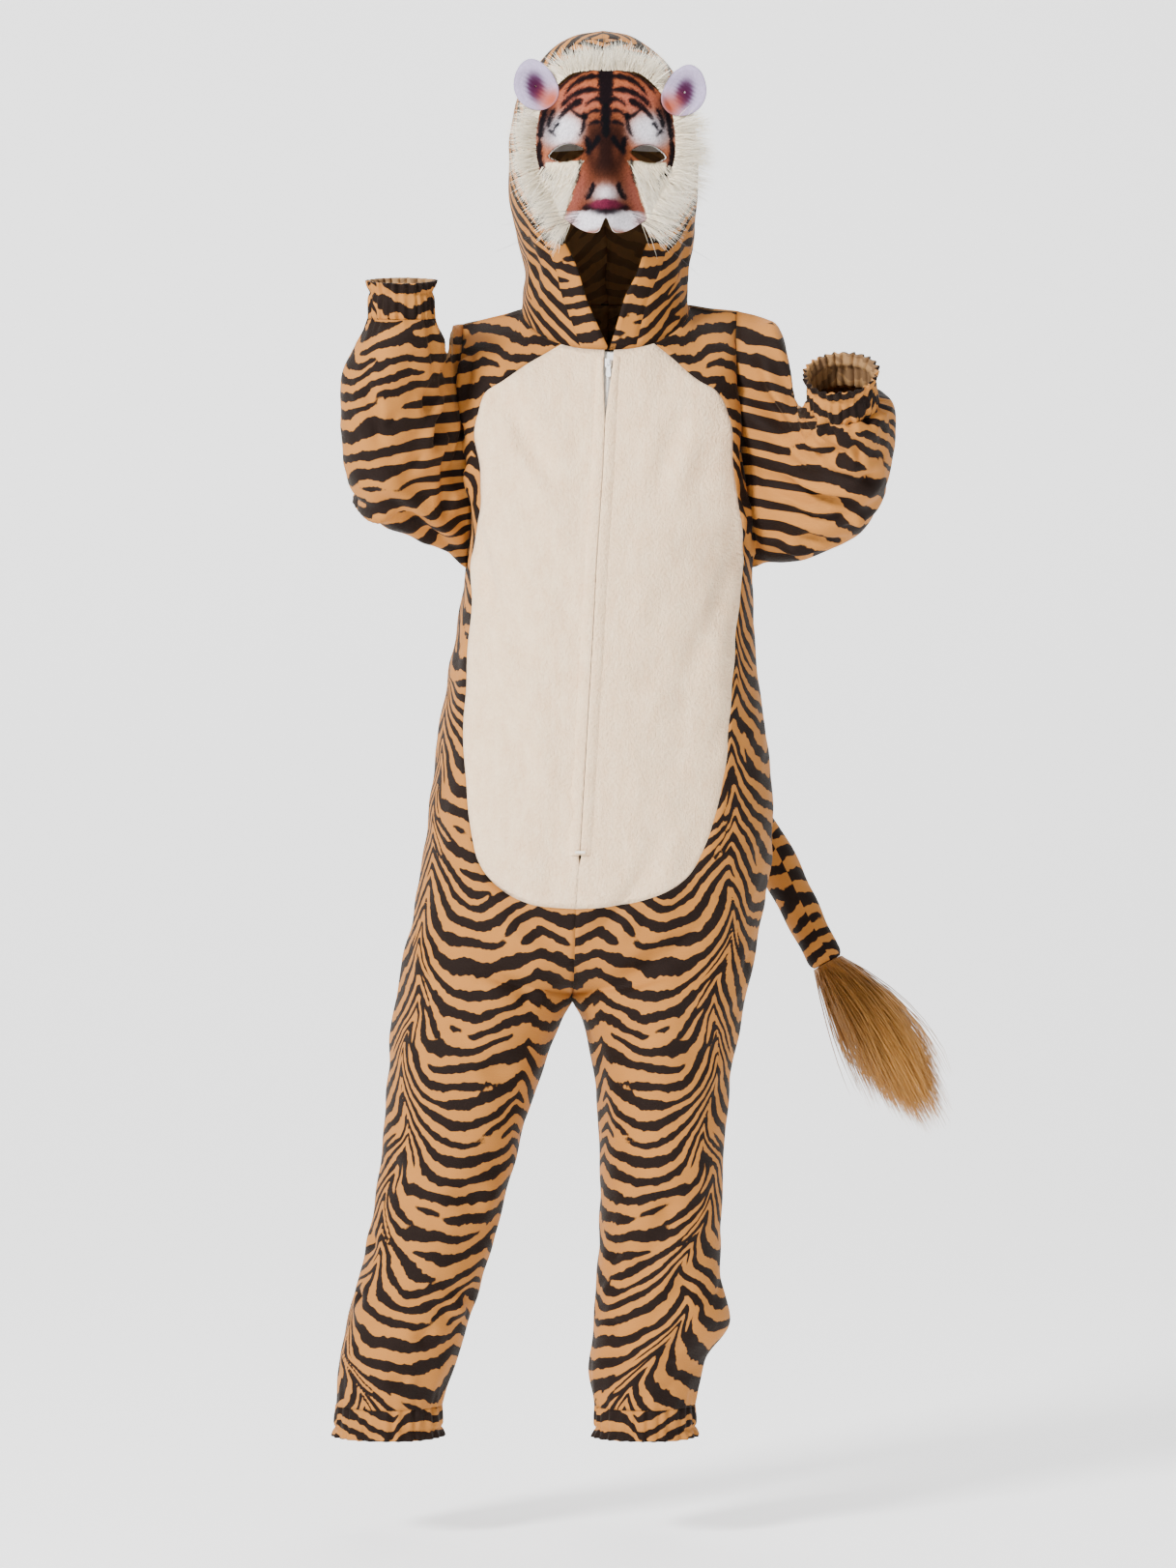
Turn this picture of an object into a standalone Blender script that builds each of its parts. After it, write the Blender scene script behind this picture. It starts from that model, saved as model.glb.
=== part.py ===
"""Tiger jumpsuit costume: a hooded one-piece suit with an inset plush belly, a zip under a plush fly, a stuffed
tail with a hair tuft, and a half mask with a fur edge on an elastic. The cloth keeps the filled-out form.

Sizes are in millimetres in the tables and become metres when a mesh is made. X runs from the suit's right
side to its left side, the front faces -Y and Z is up. The origin lies between the shoulders, at the base of
the neck, where the suit is carried.

The body's surface is one function of two parameters: s runs from the centre or inseam (0) to the side seam
or armhole (1), and t counts the rows of BODY from the hem (0) to the neckline and shoulder seam.
"""

import math

import bmesh
import bpy
import numpy as np
from mathutils import Matrix, Vector

MM = 0.001
CLOTH = 1.6
PLUSH = 2.6
SEAM = 0.3
STEEP_SEAM = 0.8

# Shape of a section: 1 is an ellipse, less is squarer
TORSO_ROUND = 0.9
LEG_ROUND = 0.94

# Rows of the body from hem to upper chest. in and out are the ends of a row on the inseam or centre line and
# on the side seam or armhole. turn is 0 where a row goes round a leg and 1 where it goes round the torso.
BODY_COLUMNS = (
    "z_in z_out right_in right_out left_in left_out front back front_out back_out turn".split()
)
BODY = (
    (-950, -950, -147, -240, -14, 76, -48, 50, 0, 0, 0),
    (-912, -912, -134, -236, -18, 84, -52, 54, 0, 0, 0),
    (-874, -874, -122, -229, -14, 106, -56, 57, 0, 0, 0),
    (-832, -832, -110, -218, -11, 98, -60, 60, 0, 0, 0),
    (-766, -766, -90, -205, -8, 99, -65, 63, 0, 0, 0),
    (-701, -701, -72, -197, -8, 103, -72, 70, 0, 0, 0),
    (-650, -650, -56, -192, -14, 109, -79, 79, 0, 0, 0),
    (-612, -606, -42, -188, -22, 118, -86, 89, 0, 0, 0),
    (-591, -575, -32, -183, -32, 125, -92, 97, 0, 0, 0),
    (-581, -548, -31, -178, -31, 130, -97, 103, 0, 0, 0.5),
    (-556, -520, -30, -173, -30, 135, -102, 108, 0, 0, 0.87),
    (-521, -492, -29, -168, -29, 139, -106, 110, 0, 0, 1),
    (-463, -461, -25, -163, -25, 143, -111, 109, 0, 0, 1),
    (-412, -412, -22, -156, -22, 143, -113, 104, 0, 0, 1),
    (-361, -361, -19, -150, -19, 138, -114, 98, 0, 0, 1),
    (-310, -310, -16, -141, -16, 132, -112, 95, 0, 0, 1),
    (-259, -259, -13, -131, -13, 127, -109, 94, 0, 0, 1),
    (-217, -215, -11, -124, -11, 125, -106, 95, 0, 0, 1),
    (-172, -160, -8, -120, -8, 121, -102, 96, -40, 46, 1),
    (-124, -97, -5, -125, -5, 114, -95, 93, -44, 50, 1),
    (-77, -44, -3, -129, -3, 110, -86, 86, -32, 40, 1),
)
UNDERARM = 17
TOP = len(BODY)
SIDES = {"right": -1, "left": 1}

# The top row: neckline from the centre to the side of the neck, then the shoulder seam to the tip
NECK_SHARE = 0.55
NECK_FRONT = (0.0, -72.0, -29.0)
NECK_BACK = (0.0, 60.0, 22.0)
NECK_SIDE = {"right": (-76.0, 4.0, 13.0), "left": (71.0, 4.0, 18.0)}
SHOULDER_TIP = {"right": (-128.0, 6.0, 1.0), "left": (113.0, 6.0, 12.0)}

# Edge of the belly inset, from its bottom on the centre line to the neckline
BELLY_COLUMNS = "t right left".split()
BELLY = (
    (11.19, 0.0, 0.0),
    (11.22, 0.13, 0.12),
    (11.36, 0.27, 0.26),
    (11.62, 0.37, 0.36),
    (12.14, 0.44, 0.42),
    (12.9, 0.51, 0.48),
    (14.15, 0.59, 0.55),
    (15.2, 0.65, 0.62),
    (16.4, 0.77, 0.71),
    (17.3, 0.84, 0.76),
    (18.1, 0.74, 0.73),
    (19.0, 0.73, 0.74),
    (19.45, 0.67, 0.71),
    (19.82, 0.60, 0.62),
    (20.1, 0.48, 0.49),
    (20.55, 0.33, 0.33),
    (21.0, 0.19, 0.19),
)
BELLY_CORNER = 3
BELLY_TOP_SHARE = 0.19

# Samples of the seams, shared by the pieces on both sides of a seam
LEG_T = np.concatenate([np.linspace(0, 8, 11), [8.5, 9.2, 10]])
SIDE_T = np.concatenate([np.linspace(10, 17, 9), [17.3], np.linspace(18, 21, 7)])
FRONT_S = np.linspace(0, 1, 9)
BACK_S = np.array([0, 0.13, 0.27, 0.41, NECK_SHARE, 0.70, 0.85, 1.0])
YOKE_S = np.array([BELLY_TOP_SHARE, 0.37, NECK_SHARE, 0.70, 0.85, 1.0])
LEG_END_T = 10

# Largest creases: face, both ends as x and z, half width, depth
CREASES = (
    ("front", -96, -72, -52, -140, 11, 5),
    ("front", -48, -425, -50, -480, 13, 3),
    ("front", 20, -845, 52, -778, 12, 6),
    ("front", 22, -890, 66, -840, 11, 5),
    ("front", -212, -880, -160, -850, 11, 4),
    ("front", -206, -690, -150, -730, 14, 3),
    ("back", -100, -560, -50, -590, 16, 3),
    ("back", 60, -560, 0, -590, 16, 3),
    ("back", -150, -770, -110, -750, 13, 4),
    ("back", 70, -770, 30, -745, 13, 4),
    ("back", -60, -110, -20, -200, 14, 4),
    ("back", 55, -110, 12, -200, 14, 4),
)

# Sections of a sleeve: ends at the crook of the elbow (near) and at its outside (far), as x and z, the depth
# y of the middle, half the depth and the lean of the section in degrees
SLEEVE_COLUMNS = "near_x near_z far_x far_z y half lean".split()
SLEEVES = {
    "right": (
        (-136, -2, -143, -198, -8, 60, 0),
        (-138, -16, -166, -188, -20, 65, 0),
        (-138, -28, -197, -180, -32, 67, 0),
        (-139, -32, -218, -161, -44, 67, 0),
        (-140, -31.5, -228, -134, -54, 65, 0),
        (-141, -29, -231, -106, -62, 62, 0),
        (-142, -25.5, -231, -81, -69, 59, 0),
        (-143, -21, -229, -57, -76, 55, 4),
        (-145, -15.5, -221, -32, -84, 49, 6),
        (-147.5, -9.5, -210, -13, -90, 40, 8),
        (-150, -3, -207, -3, -92, 30, 10),
    ),
    "left": (
        (141, 2, 141, -210, -5, 58, 0),
        (157, -22, 160, -211, -14, 63, 0),
        (160, -52, 179, -206, -24, 66, 0),
        (161, -72, 199, -198, -36, 68, 0),
        (162.5, -76, 220, -184, -48, 68, 2),
        (163.5, -78, 233, -168, -60, 66, 5),
        (164.5, -80, 241, -147, -72, 64, 9),
        (165.5, -81, 245, -120, -86, 60, 14),
        (166, -82, 246, -96, -100, 54, 21),
        (166.5, -83, 242, -78, -113, 45, 29),
        (168, -84, 230, -77, -124, 32, 36),
    ),
}
SLEEVE_ROWS = 15

# Elastic casings at the wrists and ankles: distance from the seam, growth of the ring, height of the gathers
CASING = ((0, 0.0, 0.0), (22, -1.0, 1.8), (32, 2.5, 2.6))
HEM_CASING = ((0, 0.0, 0.0), (18, -1.5, 1.8), (27, 1.0, 2.6))
GATHER_STEPS = 3
GATHER_PHASE = 0.7

# Rows of the hood above the neckline: height of the face edge, of the middle and of the centre back, half
# width, middle x, middle y, depth forward and back, and the share of the width that is open
HOOD_COLUMNS = "z_face z_mid z_back half x y ahead behind open".split()
HOOD = (
    (16, 28, 46, 72, -3, 0, 78, 74, 0.24),
    (38, 46, 68, 72, -1, 4, 86, 84, 0.36),
    (72, 80, 98, 78, -3, 6, 92, 90, 0.50),
    (112, 116, 130, 83, -5, 8, 106, 94, 0.66),
    (150, 156, 166, 83, -5, 8, 115, 94, 0.72),
    (184, 196, 198, 76, -5, 8, 115, 88, 0.72),
    (208, 228, 221, 61, -5, 8, 112, 78, 0.70),
    (224, 248, 232, 40, -5, 8, 104, 66, 0.66),
    (232, 258, 237, 20, -5, 8, 99, 56, 0.62),
    (234, 261, 238, 0, -5, 8, 96, 50, 0.60),
)
HOOD_H = np.array([0, 0.8, 1.6, 2.5, 3.4, 4.3, 5.2, 6.1, 7.0, 7.8, 8.5, 9.25, 10.0])
BAND_CELLS = 4

# Zip and fly, from the slider at the neck to the tack at the end, by the rows they reach
ZIP_SLOT = 4.0
ZIP_TOP_T = 20.86
ZIP_END_T = 11.95
COIL_TOP_T = 20.66
FLY_OPEN_T = 19.72
FLY_WIDTH = 10.5
FLY_THICK = 2.2
FLY_HALF_GAP = 0.5
FLY_TOP_GAP = 4.8
TAPE_HALF = 11.0
TAPE_THICK = 0.8
TAPE_GAP = 1.0
COIL_HALF = 2.4
COIL_THICK = 1.5
SLIDER_T = 20.77
SLIDER_WIDTH = 6.0
SLIDER_LENGTH = 8.0
SLIDER_THICK = 2.6
SLIDER_BEVEL = 0.6
BRIDGE_WIDTH = 1.4
BRIDGE_HALF = 3.0
BRIDGE_RISE = 3.9
BRIDGE_BAR = 1.0
HINGE_RISE = 1.7
PULL_LENGTH = 15.0
PULL_HALF = 2.2
PULL_THICK = 1.0
PULL_BAR = 1.2
PULL_BAR_HALF = 1.9
PULL_WINDOW_HALF = 1.15
PULL_WINDOW = 4.2
TACK_SIZE = (9.0, 1.0, 2.5)
TACK_BEVEL = 0.3

# Route of the tail from the centre back, with its radius
TAIL = (
    (-23, 108, -396, 21),
    (-8, 134, -391, 20.5),
    (40, 152, -394, 20),
    (94, 158, -412, 19.5),
    (138, 155, -450, 19),
    (171, 149, -512, 17.5),
    (199, 143, -566, 15.5),
)
TAIL_SIDES = 12
TAIL_SEAT = 0.75
TAIL_RINGS = 15
TUFT_LENGTH = 172.0
TUFT_HEAD = 10.0
TUFT_RADIUS = 14.5
TUFT_CELLS = 7
TUFT_LEAN = (0.55, -0.04, -0.83)
TUFT_BOW = (9.0, 0.0, 5.0)
TUFT_SPREAD = 1.15
TUFT_ROUNDING = 0.30
LOCK_TAPER = 0.62
SEED = 11

# Mask: rows of the face, as height, half width, how far the edge lies behind the middle, and how far the
# nose stands forward
MASK_MIDDLE_X = -3.0
MASK_MIDDLE_Y = -104.0
MASK_COLUMNS = "z half edge nose".split()
MASK = (
    (71, 25, 4, 9),
    (80, 37, 9, 14),
    (92, 40, 12, 18),
    (106, 47, 16, 15),
    (121, 57, 22, 10),
    (139, 61, 24, 6),
    (159, 61, 24, 3),
    (178, 57, 23, 1),
    (196, 47, 19, -2),
    (210, 30, 11, -5),
)
MASK_ROWS = 13
MASK_COLS = 13
MASK_THICK = 1.4
NOSE_HALF = 15.0
EYES = ((-37.0, 138, -6), (34.0, 137, 6))
EYE_HALF = (15.5, 8.0)
EARS = {"right": (-63.5, 197), "left": (65, 192)}
EAR_HALF = (19.0, 20.0)
EAR_THICK = 2.0
EAR_FORWARD = 0.6
EAR_CLEAR = 30.0
EAR_SPOKES = 16
EAR_RINGS = (0.3, 0.65, 1.0)

# Fur edge of the mask: from cheek to cheek over the brow, as angles about the mask's middle
FUR_MIDDLE_Z = 138.0
FUR_ENDS = (-63.0, 243.0)
FUR_CELLS = 34
FUR_LAP = 3.0
FUR_GAP = 1.2
FUR_WIDTH = 8.0
FUR_THICK = 4.0
FUR_BACK = 2.1
FUR_LOCK = 20.0

ELASTIC_ROW = 6
ELASTIC_SHARE = 0.18
ELASTIC_INSET = 2.25
ELASTIC_THICK = 1.0
ELASTIC_LAP = 5.0

# Points closer than a key's step count as one. The shift keeps round sizes off the steps.
KEYS_PER_MM = 200
KEY_SHIFT = 0.3137


def columns(table, names):
    """A table's columns as arrays, by name."""
    values = np.array(table, float)
    return {name: values[:, i] for i, name in enumerate(names)}


def smooth(rows, t):
    """Curve through rows[k] at the real number t, for each point of its own.

    It is a cubic between rows, with the harmonic mean of the steps on both sides as its slope, or none at a
    turn, so that it never overshoots.
    """
    steps = np.diff(rows, axis=0)
    product = np.maximum(steps[1:] * steps[:-1], 0)
    total = steps[1:] + steps[:-1]
    inner = 2 * product / np.where(np.abs(total) < 1e-9, 1, total) * (product > 0)
    slopes = np.concatenate([steps[:1], inner, steps[-1:]])
    k = np.clip(np.floor(t).astype(int), 0, len(rows) - 2)
    f = (t - k)[:, None]
    index = np.arange(len(t))
    a, b = rows[k, index], rows[k + 1, index]
    m, n = slopes[k, index], slopes[k + 1, index]
    return a + f * (m + f * (3 * (b - a) - 2 * m - n + f * (2 * (a - b) + m + n)))


def unit(v):
    """Vectors of length one."""
    return v / np.maximum(np.linalg.norm(v, axis=-1, keepdims=True), 1e-9)


def top_row(side, face, s):
    """Neckline as a quarter oval from the centre to the side of the neck, then the straight shoulder seam."""
    centre = np.array(NECK_FRONT if face == "front" else NECK_BACK)
    neck = np.array(NECK_SIDE[side])
    tip = np.array(SHOULDER_TIP[side])
    a = np.pi / 2 * np.clip(s / NECK_SHARE, 0, 1)
    across = np.sin(a) ** TORSO_ROUND
    along = np.cos(a) ** TORSO_ROUND
    x = centre[0] + (neck[0] - centre[0]) * across
    y = neck[1] + (centre[1] - neck[1]) * along
    z = neck[2] + (centre[2] - neck[2]) * np.cos(a)
    f = np.clip((s - NECK_SHARE) / (1 - NECK_SHARE), 0, 1)[:, None]
    return np.stack([x, y, z], axis=1) + (tip - neck) * f


def body_rows(side, face, s):
    """All rows of the body at s: half an oval round a leg, a quarter oval round the torso."""
    c = {name: v[:, None] for name, v in columns(BODY, BODY_COLUMNS).items()}
    x_in, x_out = c[side + "_in"], c[side + "_out"]
    depth, y_out = c[face], c[face + "_out"]
    half = np.pi * s[None]
    quarter = half / 2
    leg_x = (x_in + x_out) / 2 - (x_out - x_in) / 2 * np.cos(half)
    leg_y = depth * np.abs(np.sin(half)) ** LEG_ROUND
    torso_x = x_in + (x_out - x_in) * np.sin(quarter) ** TORSO_ROUND
    torso_y = y_out + (depth - y_out) * np.abs(np.cos(quarter)) ** TORSO_ROUND
    x = leg_x + (torso_x - leg_x) * c["turn"]
    y = leg_y + (torso_y - leg_y) * c["turn"]
    z = c["z_in"] + (c["z_out"] - c["z_in"]) * np.sin(quarter) ** 2
    rows = np.stack([x, y, z], axis=2)
    return np.concatenate([rows, top_row(side, face, s)[None]])


def creased(points, face):
    """Each crease is a soft trough along a line, as deep as its table row says and fading to its ends."""
    out = points.copy()
    inward = 1 if face == "front" else -1
    for where, x0, z0, x1, z1, width, depth in CREASES:
        if where != face:
            continue
        start = np.array([x0, z0], float)
        run = np.array([x1, z1], float) - start
        flat = points[:, [0, 2]] - start
        share = flat @ run / (run @ run)
        off = np.linalg.norm(flat - np.clip(share, 0, 1)[:, None] * run, axis=1)
        out[:, 1] += inward * depth * np.exp(-((off / width) ** 2))
    return out


def body(side, face, s, t):
    """Points of the body's outer surface at s and t, arrays of one shape, as an array with xyz last."""
    s, t = np.broadcast_arrays(np.asarray(s, float), np.asarray(t, float))
    flat_s, flat_t = s.ravel(), t.ravel()
    points = smooth(body_rows(side, face, flat_s), flat_t)
    facing = np.abs(points[:, 1]) / 60
    moved = creased(points, face)
    points = points + (moved - points) * np.clip(facing, 0, 1)[:, None] * (flat_t < 20.9)[:, None]
    return points.reshape(s.shape + (3,))


def belly_edge(side, share):
    """s and t along the edge of the belly inset: share 0 to 1 is its bottom, 1 to 2 its side."""
    c = columns(BELLY, BELLY_COLUMNS)
    side_rows = len(BELLY) - 1 - BELLY_CORNER
    row = np.where(share < 1, share * BELLY_CORNER, BELLY_CORNER + (share - 1) * side_rows)
    table = np.stack([c[side], c["t"]], axis=1)[:, None, :].repeat(len(row), axis=1)
    return smooth(table, row).T


def side_shares():
    """How far along the side of the belly each sample of the side seam has its mate, from 0 to 1."""
    c = columns(BELLY, BELLY_COLUMNS)
    rows = np.arange(len(BELLY), dtype=float)
    low = c["t"][BELLY_CORNER]
    wanted = low + (SIDE_T - SIDE_T[0]) / (SIDE_T[-1] - SIDE_T[0]) * (c["t"][-1] - low)
    found = np.interp(wanted, c["t"], rows)
    return (found - BELLY_CORNER) / (len(BELLY) - 1 - BELLY_CORNER)


def slot_s(side, t, reach):
    """s at which the surface lies reach to the side of the centre line, between the neck and the zip's end."""
    s = np.linspace(0, 0.2, 81)
    t = np.atleast_1d(t)
    grid = body(side, "front", s[None, :], t[:, None])
    away = np.abs(grid[..., 0] - grid[:, :1, 0])
    return np.array([np.interp(reach[i] if np.ndim(reach) else reach, away[i], s) for i in range(len(t))])


def front_yoke(side):
    """The front around the belly: from the belly's edge out to the leg's top row, side seam and armhole."""
    bottom_s, bottom_t = belly_edge(side, np.linspace(0, 1, len(FRONT_S)))
    side_s, side_t = belly_edge(side, 1 + side_shares())
    inner = np.stack([np.append(bottom_s, side_s[1:]), np.append(bottom_t, side_t[1:])], axis=1)
    row = np.stack([FRONT_S, np.full(len(FRONT_S), float(LEG_END_T))], axis=1)
    seam = np.stack([np.ones(len(SIDE_T) - 1), SIDE_T[1:]], axis=1)
    outer = np.concatenate([row, seam])
    w = (YOKE_S - YOKE_S[0]) / (1 - YOKE_S[0])
    st = inner[None] + (outer - inner)[None] * w[:, None, None]
    return body(side, "front", st[..., 0], st[..., 1])


def belly_panel(side):
    """The belly inset, spanned between the zip's slot, the bottom edge, the side edge and the neckline."""
    p = np.linspace(0, 1, len(FRONT_S))
    bottom = np.stack(belly_edge(side, p), axis=1)
    edge = np.stack(belly_edge(side, 1 + side_shares()), axis=1)
    q = side_shares()
    centre_t = bottom[0, 1] + q * (TOP - bottom[0, 1])
    closed = 1 - np.clip((ZIP_END_T + 0.35 - centre_t) / 0.5, 0, 1)
    centre = np.stack([slot_s(side, centre_t, ZIP_SLOT) * closed, centre_t], axis=1)
    top_s = centre[-1, 0] + p * (BELLY_TOP_SHARE - centre[-1, 0])
    top = np.stack([top_s, np.full(len(p), float(TOP))], axis=1)
    a, b = p[None, :, None], q[:, None, None]
    ruled = (1 - a) * centre[:, None] + a * edge[:, None] + (1 - b) * bottom[None] + b * top[None]
    below = (1 - a) * (1 - b) * centre[0] + a * (1 - b) * edge[0]
    above = (1 - a) * b * centre[-1] + a * b * edge[-1]
    st = ruled - (below + above)
    return body(side, "front", st[..., 0], st[..., 1])


def sleeve(side):
    """A tube from the armhole through the sections of its table to the wrist, as rows of rings."""
    c = columns(SLEEVES[side], SLEEVE_COLUMNS)
    arm_t = SIDE_T[SIDE_T >= UNDERARM]
    fore = body(side, "front", np.ones(len(arm_t)), arm_t)
    aft = body(side, "back", np.ones(len(arm_t)), arm_t)
    armhole = np.concatenate([fore, aft[-2::-1]])
    a = np.pi * np.arange(len(armhole)) / (len(arm_t) - 1)
    near = np.stack([c["near_x"], c["y"], c["near_z"]], axis=1)
    far = np.stack([c["far_x"], c["y"], c["far_z"]], axis=1)
    along = unit(far - near)
    lean = np.radians(c["lean"])[:, None]
    up = np.stack([-along[:, 2], 0 * lean[:, 0], along[:, 0]], axis=1) * SIDES[side]
    across = np.cos(lean) * np.array([0, 1, 0]) + np.sin(lean) * up
    middle = (near + far)[:, None] / 2
    reach = (far - near)[:, None] / 2 * np.cos(a)[None, :, None]
    depth = across[:, None] * (-c["half"][:, None] * np.sin(a))[..., None]
    rings = np.concatenate([armhole[None], middle + reach + depth])
    t = np.linspace(0, len(rings) - 1, SLEEVE_ROWS)
    tt, jj = np.meshgrid(t, np.arange(len(armhole)), indexing="ij")
    points = smooth(rings[:, jj.ravel()], tt.ravel())
    return points.reshape(len(t), len(armhole), 3)


def wrist_axis(side):
    """Direction out of the sleeve, square to its last section."""
    c = {name: v[-1] for name, v in columns(SLEEVES[side], SLEEVE_COLUMNS).items()}
    along = unit(np.array([c["far_x"] - c["near_x"], 0, c["far_z"] - c["near_z"]]))
    lean = math.radians(c["lean"])
    up = np.array([-along[2], 0, along[0]]) * SIDES[side]
    return up * math.cos(lean) - np.array([0, 1, 0]) * math.sin(lean)


def casing_planes():
    """Centre, axis and reach of the planes where the casings start."""
    planes = []
    for side in SIDES:
        for ring, axis in ((sleeve(side)[-1], wrist_axis(side)), (leg_ring(side), np.array([0, 0, -1.0]))):
            planes.append((ring.mean(axis=0), axis, 75.0))
    return planes


def casing(ring, axis, table):
    """Rows of a gathered casing that leaves a ring along axis: the ring is refined and waved in and out."""
    closed = np.concatenate([ring, ring[:1]]) if np.linalg.norm(ring[0] - ring[-1]) > 1e-6 else ring
    cells = len(closed) - 1
    steps = np.arange(cells * GATHER_STEPS + 1) / GATHER_STEPS
    k = np.minimum(steps.astype(int), cells - 1)
    fine = closed[k] + (closed[k + 1] - closed[k]) * (steps - k)[:, None]
    middle = closed[:-1].mean(axis=0)
    outward = fine - middle
    outward = unit(outward - (outward @ axis)[:, None] * axis)
    wave = np.cos(2 * np.pi * steps + GATHER_PHASE)
    return np.stack([fine + axis * z + outward * (grow + high * wave[:, None]) for z, grow, high in table])


def leg_ring(side):
    """The open lower edge of a leg, front then back."""
    front = body(side, "front", FRONT_S, np.zeros(len(FRONT_S)))
    back = body(side, "back", BACK_S, np.zeros(len(BACK_S)))
    return np.concatenate([front, back[-2::-1]])


def neck_samples(side):
    """Points of the neckline that the belly, front and back share, from the centre front to the centre back."""
    belly = belly_panel(side)[-1]
    start = np.array(NECK_FRONT)[None]
    yoke = top_row(side, "front", YOKE_S[1:3])
    back = top_row(side, "back", BACK_S[BACK_S < NECK_SHARE][::-1])
    belly = np.concatenate([start, belly[1:]])
    return np.concatenate([belly, yoke, back])


def hood_shares():
    """How far along the neckline its samples lie, from 0 at the centre front to 1 at the centre back."""
    steps = np.linalg.norm(np.diff(neck_samples("right"), axis=0), axis=1)
    return np.append(0, np.cumsum(steps)) / steps.sum()


def hood(side):
    """Half of the hood: rows from the neckline to the ridge, each from the face edge to the centre back."""
    neck = neck_samples(side)
    q = hood_shares()
    c = {name: v[:, None] for name, v in columns(HOOD, HOOD_COLUMNS).items()}
    start = -np.arccos(c["open"])
    a = start + (np.pi / 2 - start) * q[None]
    x = c["x"] + SIDES[side] * c["half"] * np.cos(a)
    y = c["y"] + np.where(a < 0, c["ahead"], c["behind"]) * np.sin(a)
    bulge = c["z_mid"] - (c["z_face"] + c["z_back"]) / 2
    z = c["z_face"] + (c["z_back"] - c["z_face"]) * q[None] + 4 * bulge * (q * (1 - q))[None]
    rows = np.concatenate([neck[None], np.stack([x, y, z], axis=2)])
    hh, jj = np.meshgrid(HOOD_H, np.arange(len(q)), indexing="ij")
    return smooth(rows[:, jj.ravel()], hh.ravel()).reshape(len(HOOD_H), len(q), 3)


def quads(rows, cols):
    """Corner indices of the cells of a grid, counter-clockwise where rows run up and columns to the right."""
    i, j = np.meshgrid(np.arange(rows - 1), np.arange(cols - 1), indexing="ij")
    a = (i * cols + j).ravel()
    return np.stack([a, a + 1, a + cols + 1, a + cols], axis=1)


def place_keys(points):
    """Whole numbers that are the same for points that meet."""
    return np.floor(points * KEYS_PER_MM + KEY_SHIFT).astype(np.int64)


def joined(grids):
    """One mesh from the grids of a piece: points that meet are made one."""
    points = np.concatenate([g.reshape(-1, 3) for g, _ in grids])
    start = np.cumsum([0] + [g.shape[0] * g.shape[1] for g, _ in grids])
    cells = []
    for (g, flip), first in zip(grids, start):
        q = quads(*g.shape[:2]) + first
        cells.append(q[:, ::-1] if flip else q)
    _, first, back = np.unique(place_keys(points), axis=0, return_index=True, return_inverse=True)
    return points[first], back.reshape(-1)[np.concatenate(cells)]


def face_normals(points, cells):
    """Unit normals of the cells, the same weight for each, so that no side of a seam outweighs the other."""
    first = points[cells[:, 2]] - points[cells[:, 0]]
    second = points[cells[:, 3]] - points[cells[:, 1]]
    return unit(np.cross(first, second))


def shared_normals(meshes, cuts):
    """Normals of every mesh's points, averaged over all meshes, so that walls agree where pieces meet.

    Each cut is a point and an axis: normals of points in that plane lie in it, so that casings meet it
    square.
    """
    points = np.concatenate([p for p, _ in meshes])
    start = np.cumsum([0] + [len(p) for p, _ in meshes])
    _, back = np.unique(place_keys(points), axis=0, return_inverse=True)
    back = back.reshape(-1)
    total = np.zeros((back.max() + 1, 3))
    for (p, cells), first in zip(meshes, start):
        normals = face_normals(p, cells)
        for corner in range(4):
            np.add.at(total, back[cells[:, corner] + first], normals)
    normals = unit(total)[back]
    for centre, axis, reach in cuts:
        away = points - centre
        height = away @ axis
        near = (np.abs(height) < 0.02) & (np.linalg.norm(away, axis=1) < reach)
        normals[near] = unit(normals[near] - np.outer(normals[near] @ axis, axis))
    return [normals[start[i] : start[i + 1]] for i in range(len(meshes))]


def rim_edges(cells):
    """Edges that only one cell has, in that cell's direction."""
    edges = np.concatenate([cells[:, [k, (k + 1) % 4]] for k in range(4)])
    edges = edges[edges[:, 0] != edges[:, 1]]
    seen = {tuple(e) for e in edges.tolist()}
    return np.array([e for e in edges.tolist() if (e[1], e[0]) not in seen])


def halved(points, cells):
    """Triangles of the cells, each cut along its shorter diagonal."""
    a, b, c, d = points[cells].transpose(1, 0, 2)
    short = np.linalg.norm(c - a, axis=1) <= np.linalg.norm(d - b, axis=1)
    first = np.where(short[:, None], cells[:, [0, 1, 2]], cells[:, [0, 1, 3]])
    second = np.where(short[:, None], cells[:, [0, 2, 3]], cells[:, [1, 2, 3]])
    return np.concatenate([first, second])


def wall(points, cells, normals, thick, seam=SEAM, lift=0.0):
    """A closed wall: the outer skin, an inner skin thick below it along the normals, and a rim between them.

    The rim stands back from the seam by half the seam's gap, so that neighbours stay apart. Both skins are cut
    along the same diagonals, so that they never pass through each other where the cloth twists.
    """
    rim = rim_edges(cells)
    inward = np.zeros_like(points)
    run = unit(points[rim[:, 1]] - points[rim[:, 0]])
    for end in range(2):
        np.add.at(inward, rim[:, end], np.cross(normals[rim[:, end]], run))
    size = (inward**2).sum(axis=1, keepdims=True)
    points = points + inward * seam / np.maximum(size, 0.8) * (size > 0)
    outer = points + normals * lift
    inner = outer - normals * thick
    n = len(points)
    sides = np.stack([rim[:, 1], rim[:, 0], rim[:, 0] + n, rim[:, 1] + n], axis=1)
    skin = halved(outer, cells)
    faces = np.concatenate([skin, skin[:, ::-1] + n]).tolist() + sides.tolist()
    return np.concatenate([outer, inner]), faces


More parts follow.
